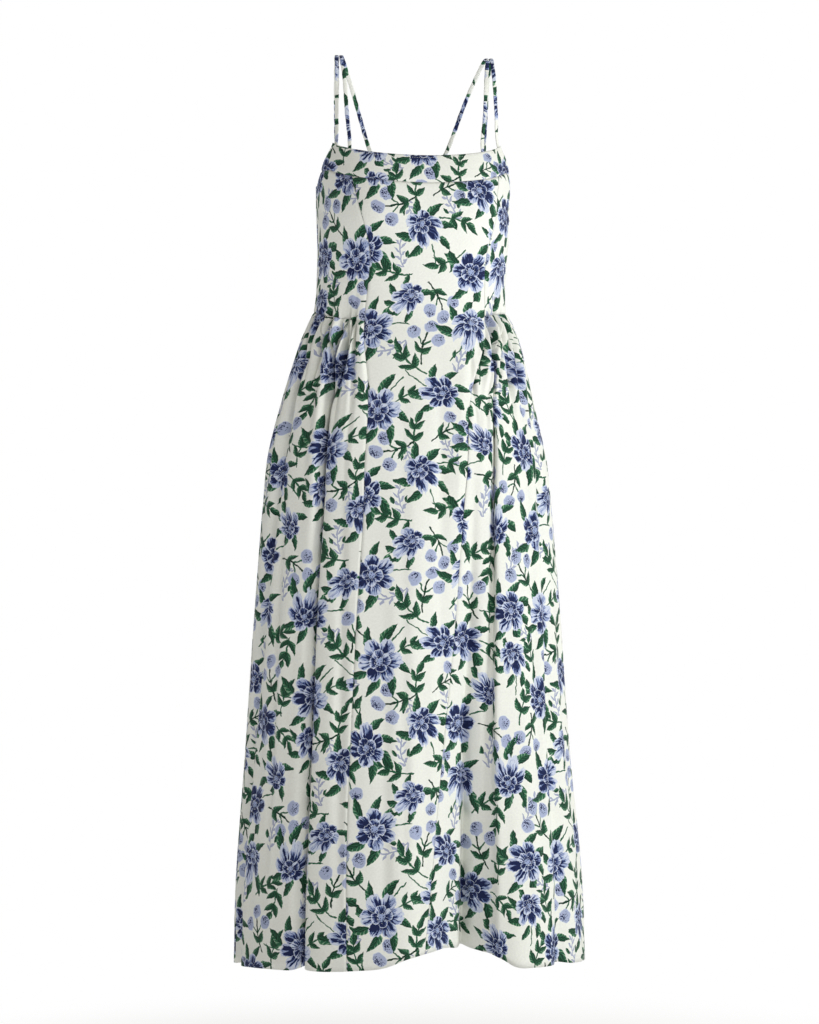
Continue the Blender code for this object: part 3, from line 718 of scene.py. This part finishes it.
def paint_buds(tree, under, place, inks):
    """Three round pale buds on a forked stem, stippled with navy on one side, over two leaves."""
    own, _ = nearest_motif(tree, place, BUDS)
    x, _, side, straight, folded = bowed(tree, own, 0.16)

    def nearest(tip, pair):
        to_tip = measured(tree, "DISTANCE", straight, (*tip, 0))
        return to_tip.least(measured(tree, "DISTANCE", folded, (*pair, 0)))

    colour = paint_line(under, x, abs(x * -0.95 - 0.3 + side), -0.32, 0.4, 0.11, inks["green"])
    colour = paint_line(colour, x, side, -1.3, 0.75, 0.09, inks["dark_green"])
    colour = paint_leaf_at(tree, colour, folded, (-0.78, 0.0), 48, 0.74, 0.22, inks)
    bud = nearest((0.78, 0.0), (0.2, 0.68))
    ball = bud < 0.33
    colour = ball.lays(inks["bud"], (bud < 0.36).lays(inks["rim"], colour))
    dark = nearest((0.9, 0.12), (0.34, 0.72)) * 1.15 + 0.02
    specks = Number(tree, "ShaderNodeTexVoronoi", {"Vector": own, "Scale": 12.5, "Randomness": 0.7})
    return ((specks + dark < 0.62) * ball).lays(inks["navy"], colour)


def paint_sprigs(tree, under, place, inks):
    """Slender lilac sprigs: a fine stem with leaflets in turn on its sides, and two small dark leaves."""
    own, reach = nearest_motif(tree, place, SPRIGS)
    x, y, side, _, folded = bowed(tree, own, 0.25)
    step = (y > 0.0) * 0.5 + (side * -0.9 + x) * 2.2
    leaflet = abs(side - 0.17) * 1.3 + abs(step.fract() - 0.5) < 0.25
    shape = leaflet.most(side < 0.04) * (reach < 0.9)
    colour = shape.lays(inks["lilac"], under)
    return paint_leaf_at(tree, colour, folded, (-0.3, 0.32), 30, 0.45, 0.24, inks)


def paint_peonies(tree, under, place, inks):
    """Full-blown peonies: two rings of petals, streaked navy to pale rims, over their stem and leaves."""
    own, _ = nearest_motif(tree, place, PEONIES)
    x, y, number = apart(tree, own)
    radius = measured(tree, "LENGTH", joined(tree, x, y))
    angle = y.maths("ARCTAN2", x)
    colour = paint_line(under, x, abs(x * x * 0.13 + y), 0.7, 1.95, 0.075, inks["green"])
    # the leaves behind the flower, each there or not by chance
    across, chance = sectors(tree, radius * 0.25 + angle, number, 8, 0.4, 57.0)
    size = chance * 0.36 + 0.76
    aside = across * (math.pi / 8) * radius / size
    colour = paint_leaf(colour, (radius - 0.74) / size, aside, 0.23, chance > 0.24, inks)
    # the heart lies to one side, as in a flower seen at a slant
    x = (radius * radius * -1.0 + 1.0).most(0.0) * (number * 0.5) + x
    flat = joined(tree, x, y)
    radius = measured(tree, "LENGTH", flat)
    angle = y.maths("ARCTAN2", x)
    way = scaled(tree, vectors(tree, "NORMALIZE", flat), 4.2)
    way = vectors(tree, "ADD", way, joined(tree, 0.0, 0.0, number * 40.0 + radius))
    streaks = {"Vector": way, "Scale": 1.7, "Detail": 2.0, "Roughness": 0.6}
    streak = Number(tree, "ShaderNodeTexNoise", streaks)
    for count, outer, turn, stops in ((6, 1.0, 0.1, (0.7, 0.8, 1.3)), (4, 0.5, 0.6, (0.72, 0.88, 1.3))):
        colour = petal_ring(tree, colour, radius, angle, number, streak, count, outer, turn, stops, inks)
    heart = radius < 0.16
    colour = heart.lays(inks["pale"], colour)
    seeds = Number(tree, "ShaderNodeTexVoronoi", {"Vector": flat, "Scale": 12.0, "Randomness": 0.5})
    ink = heart.lays(inks["navy"], inks["rim"])
    return ((seeds < 0.36) * (radius < 0.25)).lays(ink, colour)


def floral_print(colours):
    """The printed flowers as a node group. Its coordinates are the cloth's own, in millimetres."""
    tree = bpy.data.node_groups.new("peony print", "ShaderNodeTree")
    tree.interface.new_socket("Colour", in_out="OUTPUT", socket_type="NodeSocketColor")
    inks = {name: tuple(getattr(colours, name)) for name in colours.ink_names()}
    on_cloth = add(tree, "ShaderNodeUVMap", uv_map="cloth")
    place = scaled(tree, on_cloth, 1000.0 / colours.print_scale)
    # the brushed edge of each block of colour: wobbles about 1.4 mm wide and 9 mm apart
    wobble = add(tree, "ShaderNodeTexNoise", {"Vector": place, "Scale": 0.11, "Detail": 2.0}, output=1)
    wobble = vectors(tree, "SUBTRACT", wobble, (0.5, 0.5, 0.5))
    wobble = vectors(tree, "MULTIPLY", wobble, (6.0, 6.0, 0.0))
    place = vectors(tree, "ADD", place, wobble)
    colour = paint_sprigs(tree, inks["ivory"], place, inks)
    colour = paint_leaf_sprays(tree, colour, place, inks)
    colour = paint_buds(tree, colour, place, inks)
    colour = paint_peonies(tree, colour, place, inks)
    add(tree, "NodeGroupOutput", [colour])
    return tree


def printed_cotton(name, colours, fade):
    """Cotton poplin, woven and screen printed: matt with a faint bloom where it turns from the light.
    fade is how far the print has gone pale, as on the cloth's wrong side."""
    made = bpy.data.materials.get(name)
    if made is not None:
        return made
    group = bpy.data.node_groups.get("peony print") or floral_print(colours)
    made, tree, shader = material(name)
    printed = add(tree, "ShaderNodeGroup", node_tree=group)
    on_cloth = add(tree, "ShaderNodeUVMap", uv_map="cloth")
    place = scaled(tree, on_cloth, 1000.0)
    # the ink sinks unevenly into the yarns: soft mottling about 3 mm across
    mottle = add(tree, "ShaderNodeTexNoise", {"Vector": place, "Scale": 0.35, "Detail": 4.0})
    mottle = add(tree, "ShaderNodeMapRange", [mottle, 0.25, 0.75, 0.94, 1.03])
    colour = scaled(tree, printed, mottle)
    ivory = tuple(colours.ivory)
    colour = add(tree, "ShaderNodeMix", {0: fade, 6: colour, 7: ivory}, 2, data_type="RGBA")
    fill(tree, shader, {"Base Color": colour, "Roughness": 0.82, "IOR": 1.47, "Specular IOR Level": 0.2,
                        "Sheen Weight": 0.06, "Sheen Roughness": 0.5})
    # poplin's threads lie 0.3 mm apart; drawn 0.9 mm apart, the finest that still shows from a step away
    threads = {"Vector": place, "Scale": 1 / 0.9 / 3.2, "Distortion": 0.6}
    warp = Number(tree, "ShaderNodeTexWave", threads, 1, bands_direction="X")
    weft = Number(tree, "ShaderNodeTexWave", threads, 1, bands_direction="Y")
    slub = Number(tree, "ShaderNodeTexNoise", {"Vector": place, "Scale": 0.05, "Detail": 3.0})
    height = slub * 3.0 + warp * weft
    bump = add(tree, "ShaderNodeBump", {"Strength": 0.35, "Distance": 0.0004, "Height": height})
    tree.links.new(bump, shader.inputs["Normal"])
    return made


def cotton_thread(colours):
    """Mercerised cotton thread, twisted: a slightly glossier ivory that catches the light on each stitch."""
    name = "mercerised_cotton_thread"
    if name in bpy.data.materials:
        return bpy.data.materials[name]
    made, tree, shader = material(name)
    place = add(tree, "ShaderNodeTexCoord", output=3)
    strands = {"Vector": place, "Scale": 900.0}
    painted_twist_shade = Number(tree, "ShaderNodeTexWave", strands, 1, bands_direction="DIAGONAL")
    # the thread's twist drawn as darker bands between the strands: painted shade
    ink = painted_twist_shade.lays(tuple(colours.ivory), linear("CFC9B6"))
    fill(tree, shader, {"Base Color": ink, "Roughness": 0.5, "Sheen Weight": 0.1})
    return made


def woven_tape(colours):
    """Polyester zip tape, woven in a fine herringbone: flat and a little duller than the cotton."""
    made, tree, shader = material("woven_polyester_tape")
    place = add(tree, "ShaderNodeTexCoord", output=3)
    across, _, up = apart(tree, place)
    # rows 0.5 mm apart that turn back every 2 mm
    line = ((across.maths("PINGPONG", 0.002) + up) * (2 * math.pi / 0.0005)).sine()
    height = line * 0.5 + 0.5
    # the tape's colour, darker in the grooves between the woven rows: painted shade
    ink = height.lays(tuple(colours.tape), linear("D2CDBE"))
    bump = add(tree, "ShaderNodeBump", {"Strength": 0.4, "Distance": 0.0001, "Height": height})
    fill(tree, shader, {"Base Color": ink, "Normal": bump, "Roughness": 0.7, "Sheen Weight": 0.1})
    return made


def enamelled_zinc(colours):
    """Die-cast zinc, enamelled to match the cloth: softly glossy, with the casting's slight waves."""
    made, tree, shader = material("enamelled_cast_zinc")
    place = add(tree, "ShaderNodeTexCoord", output=3)
    waves = add(tree, "ShaderNodeTexNoise", {"Vector": place, "Scale": 700.0, "Detail": 2.0})
    worn = Number(tree, "ShaderNodeMapRange", [waves, 0.3, 0.7, 0.0, 0.25])
    ink = worn.lays(linear("BDB7A6"), tuple(colours.enamel))
    rough = add(tree, "ShaderNodeMapRange", [waves, 0.0, 1.0, 0.25, 0.42])
    bump = add(tree, "ShaderNodeBump", {"Strength": 0.2, "Distance": 0.0001, "Height": waves})
    fill(tree, shader, {"Base Color": ink, "Roughness": rough, "Normal": bump, "Coat Weight": 0.3})
    return made


def nylon_coil(colours):
    """Extruded nylon zip coil: translucent-looking ivory with a tight highlight."""
    made, tree, shader = material("extruded_nylon_coil")
    place = add(tree, "ShaderNodeTexCoord", output=3)
    shift = Number(tree, "ShaderNodeTexNoise", {"Vector": place, "Scale": 60.0})
    ink = shift.lays(linear("C9C4B4"), tuple(colours.tape))
    fill(tree, shader, {"Base Color": ink, "Roughness": 0.35})
    return made


# Settings

class DressSizes(bpy.types.PropertyGroup):
    gather_depth: bpy.props.FloatProperty(
        name="Gather depth", description="How far the fullest gather at the waist seam stands out",
        default=GATHER_DEPTH * MM, min=0.0, max=0.012, unit="LENGTH")
    crease_depth: bpy.props.FloatProperty(
        name="Crease depth", description="The soft creases' depth, as a share of the depth in their table",
        default=1.0, min=0.0, max=2.0, subtype="FACTOR")
    cloth_thickness: bpy.props.FloatProperty(
        name="Cloth thickness", description="Thickness of the cotton",
        default=0.45 * MM, min=0.2 * MM, max=1.5 * MM, unit="LENGTH")
    stitch_length: bpy.props.FloatProperty(
        name="Stitch length", description="Length of one stitch with the gap after it",
        default=3.2 * MM, min=1.5 * MM, max=6 * MM, unit="LENGTH")


def colour_setting(name, description, hex_colour):
    return bpy.props.FloatVectorProperty(
        name=name, description=description, subtype="COLOR", size=4, default=linear(hex_colour))


class DressColours(bpy.types.PropertyGroup):
    print_scale: bpy.props.FloatProperty(
        name="Print scale", description="Size of the printed flowers, as a share of their charted size",
        default=1.0, min=0.3, max=3.0, subtype="FACTOR")
    ivory: colour_setting("Ground", "Unprinted cloth", "ECEEE7")
    rim: colour_setting("Petal rim", "Palest petal edges", "CDD5E6")
    pale: colour_setting("Pale blue", "Outer petals and buds", "99A7CB")
    mid: colour_setting("Mid blue", "Petals' shaded halves", "4A5C92")
    navy: colour_setting("Navy", "Petals' hearts and streaks", "19244C")
    bud: colour_setting("Bud", "Round buds", "A9B3D0")
    lilac: colour_setting("Lilac", "Sprigs", "A6ADC4")
    dark_green: colour_setting("Dark green", "Leaves' shaded halves", "163728")
    green: colour_setting("Green", "Leaves' lit halves and stems", "2C6045")
    light_green: colour_setting("Light green", "Leaf veins", "7AA384")
    tape: colour_setting("Zip tape", "The zip's tape and coil", "EDEADF")
    enamel: colour_setting("Enamel", "The zip's slider and pull", "ECE8DA")

    def ink_names(self):
        return ("ivory", "rim", "pale", "mid", "navy", "bud", "lilac", "dark_green", "green", "light_green")


class StageSettings(bpy.types.PropertyGroup):
    camera_distance: bpy.props.FloatProperty(
        name="Camera distance", description="From the camera to the middle of the dress",
        default=4.0, min=1.0, max=20.0, unit="LENGTH")
    camera_azimuth: bpy.props.FloatProperty(
        name="Camera angle", description="How far the camera stands round from the front",
        default=math.radians(-8), subtype="ANGLE")
    floor_drop: bpy.props.FloatProperty(
        name="Floor below the straps", description="How far the floor lies below the shoulder straps",
        default=1.5, min=1.3, max=2.0, unit="LENGTH")
    key_power: bpy.props.FloatProperty(
        name="Key light", description="Power of the large soft light at the front", default=88.0, min=0.0,
        unit="POWER")
    fill_strength: bpy.props.FloatProperty(
        name="Room light", description="Strength of the even light from all round", default=0.255, min=0.0)


# Pieces

SHAPE_OF_SKIRT = (waist_drop, hem_drop, 140, 1.5)
SHAPE_OF_BODICE = (bodice_top_drop, waist_drop, 56, 1.0)
RIGHT, LEFT = fixed(-90), fixed(90)
BACK_RIGHT, BACK_LEFT = fixed(-180), fixed(180)

ALL_ROUND = ("first", "last", "top", "bottom")
BAND = Panel("neck_band", band_end(-1), band_end(1), [(neck_drop, band_seam_drop, 18, 1.0)], 240,
             ("bottom",), 0, (0.05, 0.31), (0.30, 0.042), None, "stretched")
CENTRE = Panel("front_centre_panel", seam_right, seam_left, [SHAPE_OF_BODICE, SHAPE_OF_SKIRT], 110,
               ("first", "last", "top"), -5, (0.10, 0.0), (0.24, 1.12), 0.16, "hung", True)
BODICE = [Panel(node, first, last, [SHAPE_OF_BODICE], columns, sewn, grain, shift, flat, area, "stretched")
          for node, first, last, columns, sewn, grain, shift, flat, area in (
    ("front_side_bodice_right", RIGHT, seam_right, 80, ALL_ROUND, -62, (0.0, 0.12), (0.14, 0.21), 0.0235),
    ("front_side_bodice_left", seam_left, LEFT, 70, ALL_ROUND, 68, (0.20, 0.25), (0.12, 0.20), 0.019),
    ("back_bodice_right", BACK_RIGHT, RIGHT, 90, ("first", "last", "bottom"), -135, (0.08, 0.20),
     (0.21, 0.18), 0.031),
    ("back_bodice_left", LEFT, BACK_LEFT, 90, ("first", "last", "bottom"), 135, (0.25, 0.07),
     (0.21, 0.18), 0.031),
)]
SKIRT = [Panel(node, first, last, [SHAPE_OF_SKIRT], columns, ("first", "last", "top"), grain, shift,
               (wide, 0.92), area, "gathered", True, gathers, flat_end)
         for node, first, last, columns, grain, shift, wide, area, gathers, flat_end in (
    ("front_side_skirt_right", RIGHT, seam_right, 290, -60, (0.22, 0.05), 0.36, 0.255, 9, None),
    ("front_side_skirt_left", seam_left, LEFT, 300, 45, (0.02, 0.28), 0.40, 0.27, 8, None),
    ("back_skirt_right", BACK_RIGHT, RIGHT, 230, -135, (0.14, 0.16), 0.47, 0.345, 12, 0),
    ("back_skirt_left", LEFT, BACK_LEFT, 230, 135, (0.28, 0.30), 0.47, 0.345, 12, 1),
)]


def hang(panel, scene):
    """One panel as a thin shell of printed cloth, with the print's pale wrong side inside."""
    colours, sizes = scene.dress_colours, scene.dress_sizes
    name = panel.node.removesuffix("_panel") + "_cloth"
    mesh = grid_mesh(name, *panel_points(panel, sizes))
    right_side = printed_cotton("printed_poplin", colours, 0.0)
    wrong_side = printed_cotton("poplin_wrong_side", colours, 0.5)
    made = put(name, mesh, [right_side, wrong_side], "dress", panel.node)
    wall = made.modifiers.new("thickness", "SOLIDIFY")
    wall.thickness = sizes.cloth_thickness
    wall.offset = -1
    wall.material_offset = 1
    return made


class DRESS_OT_bodice(bpy.types.Operator):
    """Makes the neck band and the bodice's side and back panels"""
    bl_idname = "dress.bodice"
    bl_label = "Bodice"

    def execute(self, context):
        for panel in (BAND, *BODICE):
            hang(panel, context.scene)
        return {"FINISHED"}


class DRESS_OT_front_centre(bpy.types.Operator):
    """Makes the front centre panel, in one piece from the band to the hem"""
    bl_idname = "dress.front_centre"
    bl_label = "Front centre panel"

    def execute(self, context):
        hang(CENTRE, context.scene)
        return {"FINISHED"}


class DRESS_OT_skirt(bpy.types.Operator):
    """Makes the gathered skirt panels at the sides and the back"""
    bl_idname = "dress.skirt"
    bl_label = "Gathered skirt"

    def execute(self, context):
        for panel in SKIRT:
            hang(panel, context.scene)
        return {"FINISHED"}


def strap_route(strap):
    """The strap's points from its front end over the shoulder to its back end, and how its width lies."""
    points, widths = [], []
    for angle in (strap.front_angle, strap.back_angle):
        edge = float(neck_drop(angle)) if abs(angle) < 90 else float(bodice_top_drop(angle))
        low, high = cloth(angle, edge + STRAP_TUCK), cloth(angle, edge + 1)
        across = unit(cloth(angle + 1, edge) - cloth(angle - 1, edge))
        inward = unit(np.cross(across, low - high)) * BEHIND * MM
        points.append((low + inward, high + inward))
        widths.append(across * strap.side * (1 if abs(angle) < 90 else -1))
    (low_front, high_front), (low_back, high_back) = points
    x = strap.side * (SHOULDER_X + strap.spread * SHOULDER_SPREAD)
    top = np.array([x, 4.0, -STRAP_THICK / 2]) * MM
    rise, fall = high_front - top, high_back - top
    outward = np.array([strap.side, 0.0, 0.0])
    route = [
        low_front, high_front,
        top + rise * 0.62 + np.array([0, -5, 3]) * MM,
        top + rise * 0.28 + np.array([0, -7, 9]) * MM,
        top,
        top + fall * 0.22 + np.array([0, 11, 9]) * MM,
        top + fall * 0.58 + np.array([0, 12, 6]) * MM,
        high_back, low_back,
    ]
    wide = [widths[0], widths[0], widths[0] + outward, outward, outward]
    wide += [outward, widths[1] + outward, widths[1], widths[1]]
    return np.array(route), np.array(wide)


def strap_mesh(strap):
    """A turned tube of cloth pressed flat: an oval with a soft ridge where its seam lies inside."""
    route, wide = strap_route(strap)
    stops = lengths_along(route)
    rings = 150
    places = np.linspace(0, stops[-1], rings)
    path = np.stack([curve_through(stops, column, places) for column in route.T], axis=-1)
    lying = np.stack([curve_through(stops, column, places) for column in wide.T], axis=-1)
    ahead = unit(np.gradient(path, axis=0))
    lying = unit(lying - ahead * (lying * ahead).sum(1, keepdims=True))
    up = np.cross(ahead, lying)
    sides = 17
    turn = np.linspace(0, 2 * math.pi, sides)
    along = places[:, None]
    pinch = 1 + 0.05 * np.sin(along * 310 + strap.spread) + 0.04 * np.sin(along * 740)
    across = STRAP_WIDE / 2 * MM * pinch * np.sign(np.cos(turn)) * np.abs(np.cos(turn)) ** 0.8
    ridge = 1 + 0.16 * bell((turn - math.pi / 2) / 0.3)
    thick = STRAP_THICK / 2 * MM * ridge * np.sign(np.sin(turn)) * np.abs(np.sin(turn)) ** 0.7
    points = path[:, None] + lying[:, None] * across[..., None]
    points = points + up[:, None] * np.broadcast_to(thick, across.shape)[..., None]
    u = strap.print_shift[0] + turn / (2 * math.pi) * 2 * STRAP_WIDE * MM
    uv = np.stack(np.broadcast_arrays(u[None, :], strap.print_shift[1] + along), axis=-1)
    return grid_mesh(strap.name, points, uv), stops[-1]


class DRESS_OT_straps(bpy.types.Operator):
    """Makes the two pairs of narrow shoulder straps"""
    bl_idname = "dress.straps"
    bl_label = "Straps"

    def execute(self, context):
        scene = context.scene
        for strap in STRAPS:
            mesh, length = strap_mesh(strap)
            cotton = printed_cotton("printed_poplin", scene.dress_colours, 0.0)
            made = put(strap.name + "_cloth", mesh, [cotton], "dress", strap.name)
        return {"FINISHED"}


def stitch_row(name, low, high, level, steps, scene):
    """A row of stitches on the cloth, from one angle to another at a level that is given for each angle."""
    angles = np.linspace(low, high, steps)
    drops = level(angles)
    points = cloth(angles, drops, STITCH_PROUD)
    ups = unit(cloth(angles, drops, STITCH_PROUD + 1) - points)
    pitch = scene.dress_sizes.stitch_length
    walked = lengths_along(points)
    stops = np.arange(pitch / 2, walked[-1], pitch)
    centres, after, above = (
        np.stack([np.interp(at, walked, column) for column in rows.T], axis=-1)
        for at, rows in ((stops, points), (stops + 0.2 * pitch, points), (stops, ups)))
    ways = unit(after - centres)
    mesh = small_lozenges(name, centres, ways, above, 0.78 * pitch, 0.5 * MM, 0.34 * MM)
    made = put(name, mesh, [cotton_thread(scene.dress_colours)], "dress")


class DRESS_OT_stitching(bpy.types.Operator):
    """Sews the neckline and the top edge of the back"""
    bl_idname = "dress.stitching"
    bl_label = "Stitching"

    def execute(self, context):
        for name, low, high, level, steps in (
            ("neckline_stitches", -60.5, 60.5, lambda angle: neck_drop(angle) + 3.5, 400),
            ("back_edge_stitches_right", -179, -91, lambda angle: bodice_top_drop(angle) + 4, 300),
            ("back_edge_stitches_left", 91, 179, lambda angle: bodice_top_drop(angle) + 4, 300),
        ):
            stitch_row(name, low, high, level, steps, context.scene)
        return {"FINISHED"}


class DRESS_OT_zip(bpy.types.Operator):
    """Finishes the concealed zip: its tape, coils, slider and pull"""
    bl_idname = "dress.zip"
    bl_label = "Zip"

    def execute(self, context):
        scene = context.scene
        colours = scene.dress_colours
        zinc = enamelled_zinc(colours)
        for name in ("zip_slider", "zip_pull"):
            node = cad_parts[name]
            node.data.materials.clear()
            node.data.materials.append(zinc)
            soft = node.modifiers.new("cast edges", "BEVEL")
            soft.width = 0.2 * MM
            soft.segments = 2
            soft.limit_method = "ANGLE"
        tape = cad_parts["zip_tape"]
        tape.data.materials.clear()
        tape.data.materials.append(woven_tape(colours))
        count = int((ZIP_BOTTOM - ZIP_TOP - 8) / COIL_PITCH)
        drops = ZIP_TOP + 4 + np.arange(count) * COIL_PITCH
        centre = cloth(np.full_like(drops, 180.0), drops, -COIL_BEHIND)
        centres, ways = [], []
        for side in (-1, 1):
            centres.append(centre + np.array([side * 1.0, 0, side * 0.25 * COIL_PITCH]) * MM)
            ways.append(np.tile(unit(np.array([1.0, 0, 0.15 * side])), (count, 1)))
        ups = np.tile(np.array([0.0, -1.0, 0.0]), (2 * count, 1))
        mesh = small_lozenges("zip_coils", np.concatenate(centres), np.concatenate(ways), ups,
                              2.6 * MM, 0.9 * MM, 1.3 * MM)
        made = put("zip_coils", mesh, [nylon_coil(colours)], "dress")
        return {"FINISHED"}


# How tall a piece of the world the picture shows at the dress, and how far its middle lies below the
# origin and to the left of it in the picture, in metres.
PICTURE_TALL, LOOK_DROP, LOOK_ASIDE = 1.434, 0.638, 0.007


class DRESS_OT_stage(bpy.types.Operator):
    """Makes the pale floor, the soft studio light and the camera"""
    bl_idname = "dress.stage"
    bl_label = "Studio"

    def execute(self, context):
        scene = context.scene
        stage = scene.dress_stage
        scene.view_settings.view_transform = "Standard"
        self.floor(scene, stage)
        self.lights(scene, stage)
        self.camera(scene, stage)
        return {"FINISHED"}

    def floor(self, scene, stage):
        """A round floor that fades into the white of the room, so that no horizon shows."""
        rings, sides = 40, 96
        radius = np.concatenate([[0.0], np.geomspace(0.1, 40, rings)])[:, None, None]
        turn = np.linspace(0, 2 * math.pi, sides + 1)[None, :, None]
        points = np.concatenate([
            radius * np.cos(turn), radius * np.sin(turn), np.zeros((rings + 1, sides + 1, 1))], axis=-1)
        points[..., 2] = -stage.floor_drop
        mesh = grid_mesh("studio_floor", points[:, ::-1], points[..., :2])
        white, tree, shader = material("matt_white_painted_floor")
        fill(tree, shader, {"Base Color": linear("F4F4F2"), "Roughness": 0.9, "Specular IOR Level": 0.1})
        place = add(tree, "ShaderNodeNewGeometry")
        away = measured(tree, "LENGTH", vectors(tree, "MULTIPLY", place, (1.0, 1.0, 0.0)))
        fade = add(tree, "ShaderNodeMapRange", [away, 0.25, 1.2, 0.0, 1.0], interpolation_type="SMOOTHSTEP")
        glow = add(tree, "ShaderNodeEmission", [(1.0, 1.0, 1.0, 1.0), 1.0])
        mixed = add(tree, "ShaderNodeMixShader", [fade, shader.outputs[0], glow])
        out = tree.nodes["Material Output"]
        tree.links.new(mixed, out.inputs["Surface"])
        mesh.materials.append(white)
        made = bpy.data.objects.new("studio_floor", mesh)
        scene.collection.objects.link(made)

    def lights(self, scene, stage):
        """An even white room, a large soft light at the front right, a weak one in front and one behind."""
        world = bpy.data.worlds.new("white room")
        scene.world = world
        world.use_nodes = True
        tree = world.node_tree
        tree.nodes.clear()
        seen = add(tree, "ShaderNodeBackground", [(1.0, 1.0, 1.0, 1.0), 1.0])
        lit = add(tree, "ShaderNodeBackground", [(1.0, 0.95, 0.885, 1.0), stage.fill_strength])
        eye = add(tree, "ShaderNodeLightPath")
        mixed = add(tree, "ShaderNodeMixShader", [eye, lit, seen])
        add(tree, "ShaderNodeOutputWorld", [mixed])
        for name, place, size, power, colour in (
            ("key", (3.2, -2.3, 0.7), 1.1, stage.key_power, (0.98, 1.0, 0.98)),
            ("front", (0.9, -3.9, 0.8), 1.2, 0.34 * stage.key_power, (1.0, 0.98, 0.95)),
            ("back", (0.6, 2.8, 0.9), 1.8, 0.6 * stage.key_power, (1.0, 1.0, 1.0)),
        ):
            lamp = bpy.data.lights.new(name, "AREA")
            lamp.energy = power
            lamp.size = size
            lamp.color = colour
            made = bpy.data.objects.new(name, lamp)
            scene.collection.objects.link(made)
            made.location = place
            aim = np.array([0.0, 0.0, -0.62]) - np.array(place)
            turn = math.atan2(aim[1], aim[0])
            tilt = math.atan2(aim[2], math.hypot(aim[0], aim[1]))
            made.rotation_euler = (math.pi / 2 + tilt, 0, turn - math.pi / 2)

    def camera(self, scene, stage):
        """The camera at the photograph's angle: level with the middle of the dress."""
        lens = bpy.data.cameras.new("camera")
        made = bpy.data.objects.new("camera", lens)
        scene.collection.objects.link(made)
        turn, far = stage.camera_azimuth, stage.camera_distance
        lens.sensor_fit = "AUTO"
        lens.sensor_width = 36
        lens.lens = 36 / PICTURE_TALL * far
        right = np.array([math.cos(turn), math.sin(turn), 0.0])
        back = np.array([math.sin(turn), -math.cos(turn), 0.0])
        made.location = np.array([0.0, 0.0, -LOOK_DROP]) + back * far - right * LOOK_ASIDE
        made.rotation_euler = (math.pi / 2, 0, turn)
        scene.camera = made


class DRESS_PT_panel(bpy.types.Panel):
    """Lists the dress's pieces, sizes and colours"""
    bl_label = "Midi dress"
    bl_idname = "DRESS_PT_panel"
    bl_space_type = "VIEW_3D"
    bl_region_type = "UI"
    bl_category = "Dress"

    def draw(self, context):
        scene = context.scene
        for group in (scene.dress_sizes, scene.dress_colours, scene.dress_stage):
            box = self.layout.box()
            for name in group.__annotations__:
                box.prop(group, name)
        for operator in OPERATORS:
            self.layout.operator(operator.bl_idname)


GROUPS = {"dress_sizes": DressSizes, "dress_colours": DressColours, "dress_stage": StageSettings}
OPERATORS = (
    DRESS_OT_bodice,
    DRESS_OT_front_centre,
    DRESS_OT_skirt,
    DRESS_OT_straps,
    DRESS_OT_stitching,
    DRESS_OT_zip,
    DRESS_OT_stage,
)


def register():
    for name, group in GROUPS.items():
        bpy.utils.register_class(group)
        setattr(bpy.types.Scene, name, bpy.props.PointerProperty(type=group))
    for operator in OPERATORS:
        bpy.utils.register_class(operator)
    bpy.utils.register_class(DRESS_PT_panel)


def unregister():
    bpy.utils.unregister_class(DRESS_PT_panel)
    for operator in reversed(OPERATORS):
        bpy.utils.unregister_class(operator)
    for name, group in GROUPS.items():
        delattr(bpy.types.Scene, name)
        bpy.utils.unregister_class(group)


def main():
    register()
    bpy.ops.dress.bodice()
    bpy.ops.dress.front_centre()
    bpy.ops.dress.skirt()
    bpy.ops.dress.straps()
    bpy.ops.dress.stitching()
    bpy.ops.dress.zip()
    bpy.ops.dress.stage()


if __name__ == "__main__":
    main()
